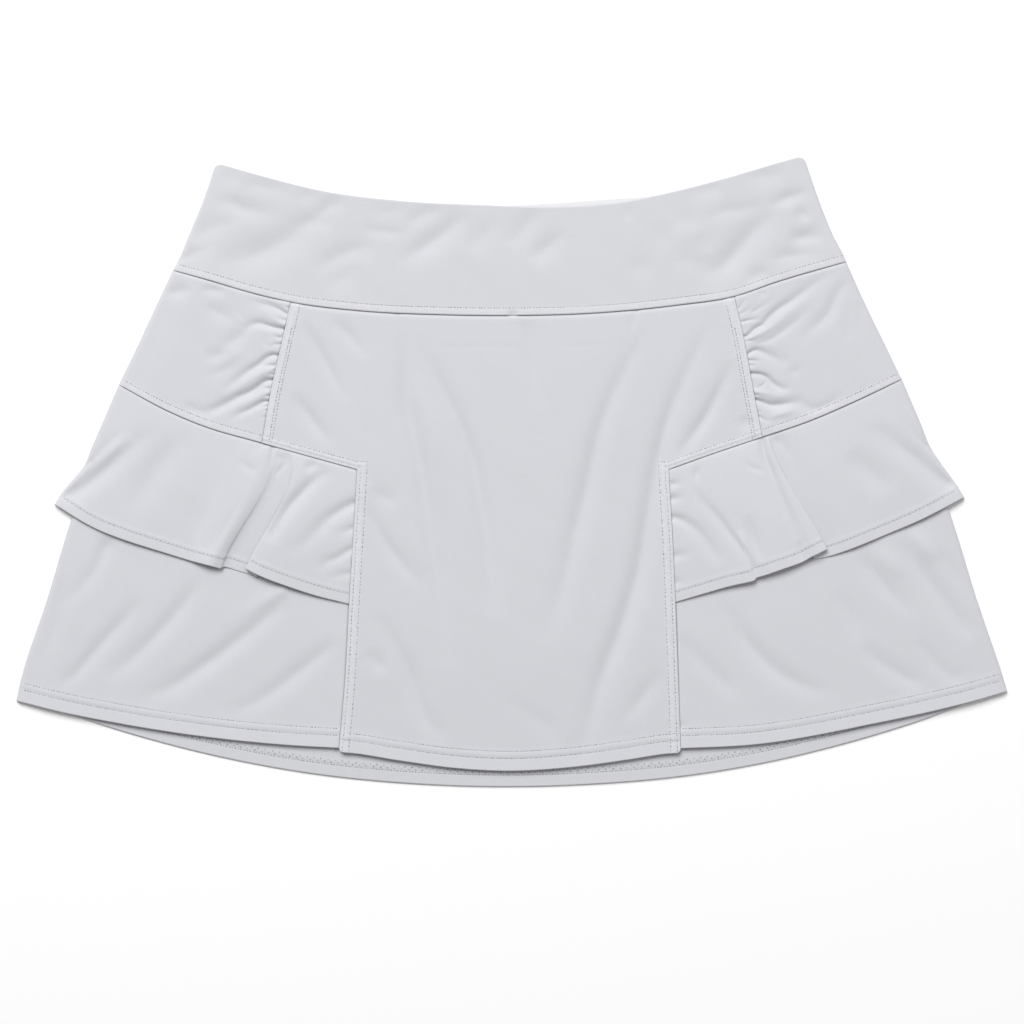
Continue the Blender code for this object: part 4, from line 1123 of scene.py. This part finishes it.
class StudioSettings(bpy.types.PropertyGroup):
    floor: bpy.props.FloatVectorProperty(
        name="Floor", description="Colour of the floor", default=(0.99, 0.99, 0.99),
        min=0.0, max=1.0, subtype="COLOR")
    key: bpy.props.FloatProperty(
        name="Key light", description="Power of the softbox by the waist", default=190.0,
        min=0.0, unit="POWER")
    fill: bpy.props.FloatProperty(
        name="Fill light", description="Power of the softbox on the right", default=15.0,
        min=0.0, unit="POWER")
    ambient: bpy.props.FloatProperty(
        name="Ambient", description="Brightness of the light from all round", default=0.29,
        min=0.0)
    camera_height: bpy.props.FloatProperty(
        name="Camera height", description="Height of the camera over the floor",
        default=1.7865, min=0.5, unit="LENGTH", subtype="DISTANCE")


class SKIRT_OT_back_panel(bpy.types.Operator):
    """Make the back of the skirt, which shows its inside and its coverstitched hem"""

    bl_idname = "skirt.back_panel"
    bl_label = "Back panel"

    def execute(self, context):
        sizes, colours = context.scene.skirt_sizes, context.scene.skirt_colours
        stitch = context.scene.skirt_stitches
        lines = [moved_in(side.yoke[:-1] + side.lower, side, BACK_INSET) for side in SIDES]
        hem = y_of(BACK_HEM)
        top = across(y_of(WAIST_SEAM, -SEAM_GAP / 2), *(line[0][0] for line in lines))
        bottom = across(hem, *(line[-1][0] for line in lines))
        left, right = sides_of(top, bottom, *map(x_of, lines))
        v = shares(BACK_DEEP, (), FINE, 4.0).T
        t = np.linspace(0, 1, 301)[None, :]
        plan = between(top, bottom, left, right, t, v)
        edge = above(plan, hem)
        low, high = BACK_ROWS
        relief = folds_height(plan, BACK_CREASES, BACK_DEPTH * sizes.creases) + edge_drop(edge)
        relief += BACK_HEM_PUFF * swelling(edge, low, high)
        relief += BACK_HEM_SWELL * np.clip(1 - edge / low, 0, 1)
        relief += groove(edge, low) + puckers(plan.real, edge, low)
        thick = sizes.cloth / MM
        height = np.maximum(thick + BACK_LIFT + relief + BACK_MOTTLE * mottle(plan), thick)
        # The hem is painted a little lighter: partly its double cloth, partly painted light
        patches = [(plan, height, HEM_TONE * plateau(edge, high + TURN_EDGE))]
        cloth = knit("knit_back", colours.inside, sheen=BACK_SHEEN)
        back = sheet_object("back", patches, sizes.cloth, cloth)
        surface = surface_of(patches)
        cover = across(y_of(BACK_HEM, (low + high) / 2), *BACK_ROW_ENDS)
        pitch, thread = (stitch.hem_pitch / MM * part for part in BACK_ZIGZAG)
        rows = [
            plain_row(surface, across(y_of(BACK_HEM, low), *BACK_ROW_ENDS), stitch),
            row_on(surface, line_path(cover), pitch, thread, BACK_ZIGZAG_WIDE),
        ]
        sewn = stitching("back_hem_stitches", rows, stitch)
        dressed(back, "back_panel", [sewn])
        return {"FINISHED"}


class SKIRT_OT_waistbands(bpy.types.Operator):
    """Make the front waistband with its topstitching, and the back one behind it"""

    bl_idname = "skirt.waistbands"
    bl_label = "Waistbands"

    def execute(self, context):
        sizes, colours = context.scene.skirt_sizes, context.scene.skirt_colours
        stitch = context.scene.skirt_stitches
        bands = [side.band for side in SIDES]
        top, bottom, left, right = self.edges(bands, WAIST_FRONT, CORNER_RADIUS)
        v = shares(WAIST_DEEP, EDGE, TO_ROW, 1.4).T
        width = (right(v) - left(v)).real
        half = spaced(width / 2, roll_steps())
        inward = np.hstack([half, half[:, -2::-1]])
        t = np.hstack([half / width, 1 - half[:, -2::-1] / width])
        plan = between(top, bottom, left, right, t, v)
        low, high = above(plan, y_of(WAIST_SEAM)), -above(plan, y_of(WAIST_FRONT))
        relief = folds_height(plan, WAIST_CREASES, WAIST_DEPTH * sizes.creases, WAIST_SPREAD)
        relief += mottle(plan)
        relief += topstitched(low, plan.real, WAIST_DIP)
        relief += BAND_EDGE * edge_drop(high / BAND_EDGE)
        height = front_height(inward, UPPER_CROWN, relief)
        height[:, -1] = 0
        # The band over the allowance is painted lighter: partly its double cloth, partly painted
        # light
        patches = [(plan, height, TOPSTITCH_TONE * plateau(low, TOPSTITCH))]
        cloth = knit("knit_waistband", colours.waist)
        front = sheet_object("waistband", patches, sizes.band, cloth)
        line = across(y_of(WAIST_SEAM, TOPSTITCH), *WAIST_ROW_ENDS)
        rows = [plain_row(surface_of(patches), line, stitch)]
        sewn = stitching("waistband_stitches", rows, stitch)
        dressed(front, "waistband_front",
                [sewn])

        bands = [moved_in(side.band, side, BAND_INSET) for side in SIDES]
        v = shares(WAIST_DEEP, EDGE, (), 5.0).T
        t = np.linspace(0, 1, 101)[None, :]
        plan = between(*self.edges(bands, WAIST_BACK), t, v)
        edge = -above(plan, y_of(WAIST_BACK))
        height = sizes.band / MM + LINING_SWELL * ease(edge / LINING_RUN) + LINING_LIFT
        patches = [(plan, height + edge_drop(edge), np.zeros(plan.shape))]
        # Its lighter colour is a painted highlight
        painted_light_lining = knit("knit_waistband_inside", colours.painted_light_lining, sheen=0.0)
        back = sheet_object("waistband_inside", patches, sizes.band, painted_light_lining)
        dressed(back, "waistband_back")
        return {"FINISHED"}

    def edges(self, bands, waist, radius=0.0):
        """Top, bottom, left and right of a waistband between these side lines."""
        top = across(y_of(waist), *(band[0][0] for band in bands))
        if radius:
            top = rounded(top, radius, -1)
        bottom = across(y_of(WAIST_SEAM, SEAM_GAP / 2), *(band[-1][0] for band in bands))
        return [top, bottom, *sides_of(top, bottom, *map(x_of, bands))]


class SKIRT_OT_centre_panel(bpy.types.Operator):
    """Make the centre panel with its raised seam strips, its hem and their stitching"""

    bl_idname = "skirt.centre_panel"
    bl_label = "Centre panel"

    def execute(self, context):
        sizes, colours = context.scene.skirt_sizes, context.scene.skirt_colours
        stitch = context.scene.skirt_stitches
        gap = SEAM_GAP / 2
        waist_line, hem = y_of(WAIST_SEAM, -gap), y_of(CENTRE_HEM)
        v_upper = shares(UPPER_DEEP, EDGE, TO_ROW).T
        v_below = shares(BELOW_DEEP, (), FINE).T
        t_wing = shares(WING_WIDE, TO_ROW)
        t_middle = shares(MIDDLE_WIDE, TO_ROW, TO_ROW)

        wings, aboves, belows = [], [], []
        for side in SIDES:
            shift = -side.out * gap
            step = y_of(side.yoke_seam, gap)
            corner_x = side.panel[0][0] + shift
            corner = complex(corner_x, step(corner_x))
            above_line = straight(complex(corner_x, waist_line(corner_x)), corner)
            top = across(waist_line, side.gather[0][0] + shift, corner_x)
            bottom = across(step, side.gather[-1][0] + shift, corner_x)
            outer = down(x_of(side.gather, shift), top(0).imag, bottom(0).imag)
            wing = between(top, bottom, outer, above_line, t_wing, v_upper)
            wings.append(from_left(side, wing)[0])
            aboves.append(above_line)
            belows.append(x_of(side.panel, shift))
        waist = across(waist_line, *(line(0).real for line in aboves))
        level = straight(*(line(1) for line in aboves))
        ends = (line(hem(side.panel[-1][0])) for line, side in zip(belows, SIDES))
        bottom = rounded(across(hem, *ends), HEM_CORNER, 1)
        plans = (
            *wings,
            between(waist, level, *aboves, t_middle, v_upper),
            between(level, bottom, *sides_of(level, bottom, *belows), t_middle, v_below),
        )
        patches = [self.patch(plan, sizes) for plan in plans]
        cloth = knit("knit_centre", colours.knit)
        panel = sheet_object("centre", patches, sizes.cloth, cloth)
        rows = self.rows(surface_of(patches), stitch)
        sewn = stitching("centre_stitches", rows, stitch)
        dressed(panel, "centre_panel", [sewn])
        return {"FINISHED"}

    def patch(self, plan, sizes):
        """A patch of the sheet over this part of the plan."""
        edge = above(plan, y_of(CENTRE_HEM))
        height = UPPER_CROWN + folds_height(plan, CENTRE_CREASES, sizes.creases) + mottle(plan)
        height += dip(-above(plan, y_of(WAIST_SEAM)), *CENTRE_WAIST_DIP)
        height += hemmed(edge, plan.real) - HEM_FALL * ease(1 - edge / HEM_FALL_RUN)
        # The hem is painted a little lighter: partly its double cloth, partly painted light
        doubled_and_lit = HEM_TONE * plateau(edge, HEM_TURN)
        inner_row, outer_row = BAND_ROWS
        for side in SIDES:
            slanted = above(plan, y_of(side.yoke_seam))
            slanted = np.where(side.out * plan.real > STRIP_X, slanted, AWAY)
            upright = -side.out * right_of(plan, x_of(side.panel))
            gather = -side.out * right_of(plan, x_of(side.gather))
            gather = np.where(plan.imag > STRIP_Y, gather, AWAY)
            mitred = np.maximum(slanted * outer_row / TOPSTITCH, upright)
            strip = np.maximum(plateau(mitred, outer_row + ALLOWANCE_EDGE),
                               plateau(gather, GATHER_ROW + ALLOWANCE_EDGE))
            # The raised strips are painted lighter: partly their double cloth, partly painted
            # light
            doubled_and_lit = np.maximum(doubled_and_lit, strip)
            height += BAND_RISE * strip + groove(mitred, outer_row)
            height += groove(gather, GATHER_ROW) + groove(gather, EDGE_LINE, EDGE_LINE_DEPTH)
            lower = plan.imag < side.panel[0][1]
            line = groove(mitred, EDGE_LINE * outer_row / TOPSTITCH, EDGE_LINE_DEPTH)
            height += np.where(lower, groove(upright, inner_row), line)
            height += STRIP_PUFF * swelling(mitred, inner_row, outer_row)
            height += STRIP_PUFF * swelling(gather, EDGE_LINE, GATHER_ROW)
            height += dip(np.maximum(slanted, upright), CENTRE_SIDE_DIP)
            height += dip(gather, *CENTRE_GATHER_DIP)
            height += puckers(plan.imag + plan.real, mitred, outer_row)
            height += puckers(plan.imag, gather, GATHER_ROW)
        return plan, height, doubled_and_lit

    def rows(self, surface, stitch):
        """The rows of the hem, of the strips beside the gathers and of the stepped sides."""
        lines = [across(y_of(CENTRE_HEM, gap), *CENTRE_HEM_ENDS) for gap in HEM_ROWS]
        rows = [plain_row(surface, line, stitch) for line in lines]
        for side in SIDES:
            out = side.out
            lines = [
                down(x_of(side.gather, -out * gap), start, GATHER_END)
                for gap, start in GATHER_STARTS.items()
            ]
            start = side.gather[-1][0] - out * STEP_INSET
            corner_x = side.panel[0][0] - out * BAND_ROWS[1]
            lines.append(across(y_of(side.yoke_seam, STEP_ROW), start, corner_x))
            rows += [plain_row(surface, line, stitch) for line in lines]
            for gap, rise in zip(BAND_ROWS, BAND_STARTS):
                line = down(x_of(side.panel, -out * gap), side.panel[0][1] + rise, BAND_END)
                rows.append(plain_row(surface, line, stitch, stitch.band_pitch))
        return rows


class SKIRT_OT_yokes(bpy.types.Operator):
    """Make the gathered yoke of each hip"""

    bl_idname = "skirt.yokes"
    bl_label = "Yokes"

    def execute(self, context):
        for side in SIDES:
            self.yoke(context.scene, side)
        return {"FINISHED"}

    def yoke(self, scene, side):
        sizes, stitch = scene.skirt_sizes, scene.skirt_stitches
        grain = -side.out * YOKE_GRAIN
        half_gap = side.out * SEAM_GAP / 2
        top_line = y_of(WAIST_SEAM, -SEAM_GAP / 2)
        bottom_line = y_of(side.yoke_seam, SEAM_GAP / 2)
        top = across(top_line, side.yoke[0][0], side.gather[0][0] + half_gap)
        bottom = across(bottom_line, side.yoke[-1][0], side.gather[-1][0] + half_gap)
        outer, inner = sides_of(top, bottom, x_of(side.yoke), x_of(side.gather, half_gap))
        v = shares(YOKE_DEEP, EDGE, TO_ROW, 0.5).T
        width = abs(inner(v) - outer(v))
        inward = spaced(width, roll_steps(), CROWDED, 1.6)
        plan = between(top, bottom, outer, inner, inward / width, v)
        to_gather, low = width - inward, above(plan, y_of(side.yoke_seam))
        calm = ease((low - CALM_START) / CALM_RUN)
        relief = folds_height(plan, side.gathers, sizes.gathers, GATHER_SPREAD) * calm
        relief += sizes.puff / MM * np.exp(-((to_gather / YOKE_PUFF_RUN) ** 2)) * calm
        relief += mottle(plan) + topstitched(low, plan.real, YOKE_SEAM_DIP)
        relief += dip(to_gather, *YOKE_GATHER_DIP)
        relief += dip(-above(plan, y_of(WAIST_SEAM)), *YOKE_WAIST_DIP)
        height = front_height(inward, UPPER_CROWN, relief)
        # The band over the allowance is painted lighter: partly its double cloth, partly painted
        # light
        doubled_and_lit = TOPSTITCH_TONE * plateau(low, TOPSTITCH)
        patches = [from_left(side, plan, height, doubled_and_lit)]
        cloth = knit("knit_yoke_" + side.name, scene.skirt_colours.knit, grain)
        yoke = sheet_object("hip_yoke_" + side.name, patches, sizes.cloth, cloth)
        inset = side.out * YOKE_ROW_INSET
        line = across(y_of(side.yoke_seam, TOPSTITCH), side.yoke[-1][0] - inset,
                      side.gather[-1][0] + inset)
        rows = [plain_row(surface_of(patches), line, stitch)]
        sewn = stitching("yoke_stitches_" + side.name, rows, stitch)
        dressed(yoke, "yoke_" + side.name, [sewn])


class SKIRT_OT_lower_panels(bpy.types.Operator):
    """Make the plain panel under each flounce, down to its double-stitched hem"""

    bl_idname = "skirt.lower_panels"
    bl_label = "Lower panels"

    def execute(self, context):
        for side in SIDES:
            self.panel(context.scene, side)
        return {"FINISHED"}

    def panel(self, scene, side):
        sizes, stitch = scene.skirt_sizes, scene.skirt_stitches
        grain = -side.out * LOWER_GRAIN
        half_gap = side.out * SEAM_GAP / 2
        top = across(y_of(side.yoke_seam, -SEAM_GAP), side.lower[0][0],
                     side.panel[0][0] + half_gap)
        bottom = across(y_of(LOWER_HEM), side.lower[-1][0], side.panel[-1][0] + half_gap)
        outer, inner = sides_of(top, bottom, x_of(side.lower), x_of(side.panel, half_gap))
        v = shares(LOWER_DEEP, (), FINE, 2.0).T
        width = abs(inner(v) - outer(v))
        inward = spaced(width, roll_steps(), EDGE)
        plan = between(top, bottom, outer, inner, inward / width, v)
        onward = rising(side.waves)
        flounce_hem = smooth([wave.x_hem for wave in onward], [wave.y_hem for wave in onward])
        under = plan.imag - flounce_hem(plan.real)
        edge = above(plan, y_of(LOWER_HEM))
        relief = folds_height(plan, LOWER_CREASES, LOWER_DEPTH * sizes.creases) + mottle(plan)
        relief += HEM_RISE * ease(-under / HEM_RISE_RUN)
        relief -= SINK * ease((under - SINK_START) / SINK_RUN)
        relief += hemmed(edge, plan.real) + dip(width - inward, LOWER_SIDE_DIP)
        height = front_height(inward, LOWER_CROWN, relief)
        # The hem is painted a little lighter: partly its double cloth, partly painted light
        patches = [from_left(side, plan, height, HEM_TONE * plateau(edge, HEM_TURN))]
        cloth = knit("knit_lower_" + side.name, scene.skirt_colours.knit, grain)
        panel = sheet_object("lower_" + side.name, patches, sizes.cloth, cloth)
        surface = surface_of(patches)
        outer_inset, inner_inset = LOWER_ROW_INSETS
        start = side.lower[-1][0] - side.out * outer_inset
        end = side.panel[-1][0] + side.out * inner_inset
        lines = [across(y_of(LOWER_HEM, gap), start, end) for gap in HEM_ROWS]
        rows = [plain_row(surface, line, stitch) for line in lines]
        sewn = stitching("lower_stitches_" + side.name, rows, stitch)
        dressed(panel, "lower_panel_" + side.name,
                [sewn])


def rising(waves):
    """The waves whose hem goes on towards the centre panel, without those that fold under."""
    kept = [waves[0]]
    for wave in waves[1:]:
        if abs(wave.x_hem) < abs(kept[-1].x_hem) - 2.0:
            kept.append(wave)
    return kept


def through(values, v):
    """The cubic through four values: at the seam, at UPPER, at LOWER and at the hem."""
    places = (0.0, UPPER, LOWER, 1.0)
    total = 0.0
    for value, place in zip(values, places):
        others = [other for other in places if other != place]
        share = math.prod([(v - other) / (place - other) for other in others])
        total = total + value * share
    return total


class SKIRT_OT_flounces(bpy.types.Operator):
    """Make the flounce of each side, with its lobes lying over each other"""

    bl_idname = "skirt.flounces"
    bl_label = "Flounces"

    def execute(self, context):
        for side in SIDES:
            self.flounce(context.scene, side)
        return {"FINISHED"}

    def flounce(self, scene, side):
        sizes, stitch = scene.skirt_sizes, scene.skirt_stitches
        seam = y_of(side.yoke_seam, -SEAM_GAP / 2)
        last = len(side.waves) - 1
        *x_lines, y_hem, lift = (smooth(range(last + 1), column) for column in zip(*side.waves))
        v = shares(FLOUNCE_DEEP, EDGE, TO_TURN, 1.3).T

        def at(place, v):
            """The plan at places counted in waves from the skirt's side."""
            x = through([line(place) for line in x_lines], v)
            y_seam = seam(x_lines[0](place))
            return x + 1j * (y_seam + (y_hem(place) - y_seam) * v)

        outer_line = down(x_of(side.flounce), seam(side.flounce[0][0]), side.waves[0].y_hem)
        inner_line = down(x_of(side.panel, side.out * SEAM_GAP / 2), seam(side.panel[0][0]),
                          side.waves[-1].y_hem)

        def surface(place, v):
            """Plan, height and doubling of the cloth at these places."""
            outer, inner = outer_line(v), inner_line(v)
            plan = at(place, v)
            plan = plan + (outer - at(np.zeros((1, 1)), v)) * np.clip(1 - place, 0, 1)
            plan = plan + (inner - at(np.full((1, 1), last), v)) * np.clip(place - last + 1, 0, 1)
            edge = (1 - v) * FLOUNCE_DEEP
            beside = np.where(place < last - 2, AWAY, abs(plan.real - inner.real))
            depth = FLOUNCE_DEPTH * sizes.creases
            relief = folds_height(plan, FLOUNCE_CREASES, depth) + mottle(plan)
            relief += FLOUNCE_SWELL * np.sin(math.pi * v)
            relief += lift(place) * v**LIFT_BEND + edge_drop(edge)
            relief += FLOUNCE_HEM_SWELL * np.clip(1 - edge / FLOUNCE_ROW, 0, 1)
            relief += HEM_PUFF * swelling(edge, FLOUNCE_ROW, FLOUNCE_TURN + TURN_EDGE)
            relief += groove(edge, FLOUNCE_ROW) + puckers(plan.real, edge, FLOUNCE_ROW)
            relief += dip(v * FLOUNCE_DEEP, *FLOUNCE_SEAM_DIP) + dip(beside, FLOUNCE_SIDE_DIP)
            # The hem is painted a little lighter: partly its double cloth, partly painted light
            doubled_and_lit = HEM_TONE * plateau(edge, FLOUNCE_TURN) + np.zeros(plan.shape)
            return plan, front_height(abs(plan - outer), FLOUNCE_CROWN, relief), doubled_and_lit

        first_width = abs(at(np.ones((1, 1)), v) - outer_line(v))
        rolled = shares(first_width, roll_steps(), (), 2.0)
        even = np.linspace(1, last - 1, (last - 2) * FLOUNCE_STEPS + 1)[1:]
        rest = np.append(even, last - np.array(FLOUNCE_ENDING))
        place = np.hstack([rolled, np.broadcast_to(rest, (len(v), len(rest)))])
        patches = [from_left(side, *surface(place, v))]
        grain = -side.out * FLOUNCE_GRAIN
        cloth = knit("knit_flounce_" + side.name, scene.skirt_colours.knit, grain)
        flounce = sheet_object("ruffle_" + side.name, patches, sizes.cloth, cloth)

        start, inset = FLOUNCE_ROW_INSETS
        place = np.linspace(start, last - inset, 1400)[None, :]
        plan, height, _ = surface(place, np.array([[1 - FLOUNCE_ROW / FLOUNCE_DEEP]]))
        points = np.stack([plan.real, plan.imag, height], axis=-1)[0]
        pitch = stitch.hem_pitch / MM
        rows = [row_through(surface_of(patches), points, pitch, pitch * FLOUNCE_ZIGZAG,
                            FLOUNCE_ZIGZAG_WIDE)]
        sewn = stitching("flounce_stitches_" + side.name, rows, stitch)
        dressed(flounce, "flounce_" + side.name,
                [sewn])


class SKIRT_OT_studio(bpy.types.Operator):
    """Make the pale floor, the soft light and the camera straight above"""

    bl_idname = "skirt.studio"
    bl_label = "Studio"

    def execute(self, context):
        scene = context.scene
        studio = scene.skirt_studio
        bpy.ops.object.select_all(action="DESELECT")
        bpy.ops.mesh.primitive_plane_add(size=FLOOR_SIZE, location=(0.0, 0.0, -FLOOR_DROP))
        floor = context.object
        bpy.ops.object.transform_apply(location=True, rotation=True, scale=True)
        floor.name = "floor"
        floor.data.materials.append(self.paper(studio.floor))
        self.softbox("key", KEY_PLACE, KEY_SIZE, studio.key)
        self.softbox("fill", FILL_PLACE, FILL_SIZE, studio.fill)

        world = bpy.data.worlds.new("studio")
        world.use_nodes = True
        light = world.node_tree.nodes["Background"]
        light.inputs["Color"].default_value = (1.0, 1.0, 1.0, 1.0)
        light.inputs["Strength"].default_value = studio.ambient
        scene.world = world

        bpy.ops.object.camera_add(location=(*CAMERA_AIM, studio.camera_height),
                                  rotation=(0.0, 0.0, 0.0))
        camera = context.object
        camera.name = "camera"
        camera.data.lens = LENS
        camera.data.sensor_width = SENSOR
        scene.camera = camera
        scene.view_settings.view_transform = "Standard"
        scene.view_settings.look = "None"
        return {"FINISHED"}

    def softbox(self, name, place, size, power):
        """A square soft light, turned to the middle of the skirt."""
        bpy.ops.object.light_add(type="AREA", location=place)
        light = bpy.context.object
        light.name = name
        light.data.size = size
        light.data.energy = power
        light.rotation_euler = (-Vector(place)).to_track_quat("-Z", "Y").to_euler()

    def paper(self, colour):
        """A matt paper sweep."""
        material = bpy.data.materials.new("paper")
        material.use_nodes = True
        shader = material.node_tree.nodes["Principled BSDF"]
        shader.inputs["Base Color"].default_value = (*colour, 1.0)
        shader.inputs["Roughness"].default_value = 0.95
        shader.inputs["Specular IOR Level"].default_value = 0.1
        return material


class SKIRT_PT_tools(bpy.types.Panel):
    bl_idname = "SKIRT_PT_tools"
    bl_label = "Skirt"
    bl_space_type = "VIEW_3D"
    bl_region_type = "UI"
    bl_category = "Skirt"

    def draw(self, context):
        for name in GROUPS:
            group = getattr(context.scene, name)
            for setting in group.__annotations__:
                self.layout.prop(group, setting)
        for operator in OPERATORS:
            self.layout.operator(operator.bl_idname)


GROUPS = {
    "skirt_sizes": SkirtSizes,
    "skirt_stitches": StitchSizes,
    "skirt_colours": SkirtColours,
    "skirt_studio": StudioSettings,
}
OPERATORS = (
    SKIRT_OT_back_panel,
    SKIRT_OT_waistbands,
    SKIRT_OT_centre_panel,
    SKIRT_OT_yokes,
    SKIRT_OT_lower_panels,
    SKIRT_OT_flounces,
    SKIRT_OT_studio,
)
CLASSES = (*GROUPS.values(), *OPERATORS, SKIRT_PT_tools)


def register():
    for item in CLASSES:
        bpy.utils.register_class(item)
    for name, group in GROUPS.items():
        setattr(bpy.types.Scene, name, bpy.props.PointerProperty(type=group))


def unregister():
    for name in GROUPS:
        delattr(bpy.types.Scene, name)
    for item in reversed(CLASSES):
        bpy.utils.unregister_class(item)


def main():
    register()
    for operator in OPERATORS:
        name = operator.bl_idname.split(".")[1]
        getattr(bpy.ops.skirt, name)()


if __name__ == "__main__":
    main()
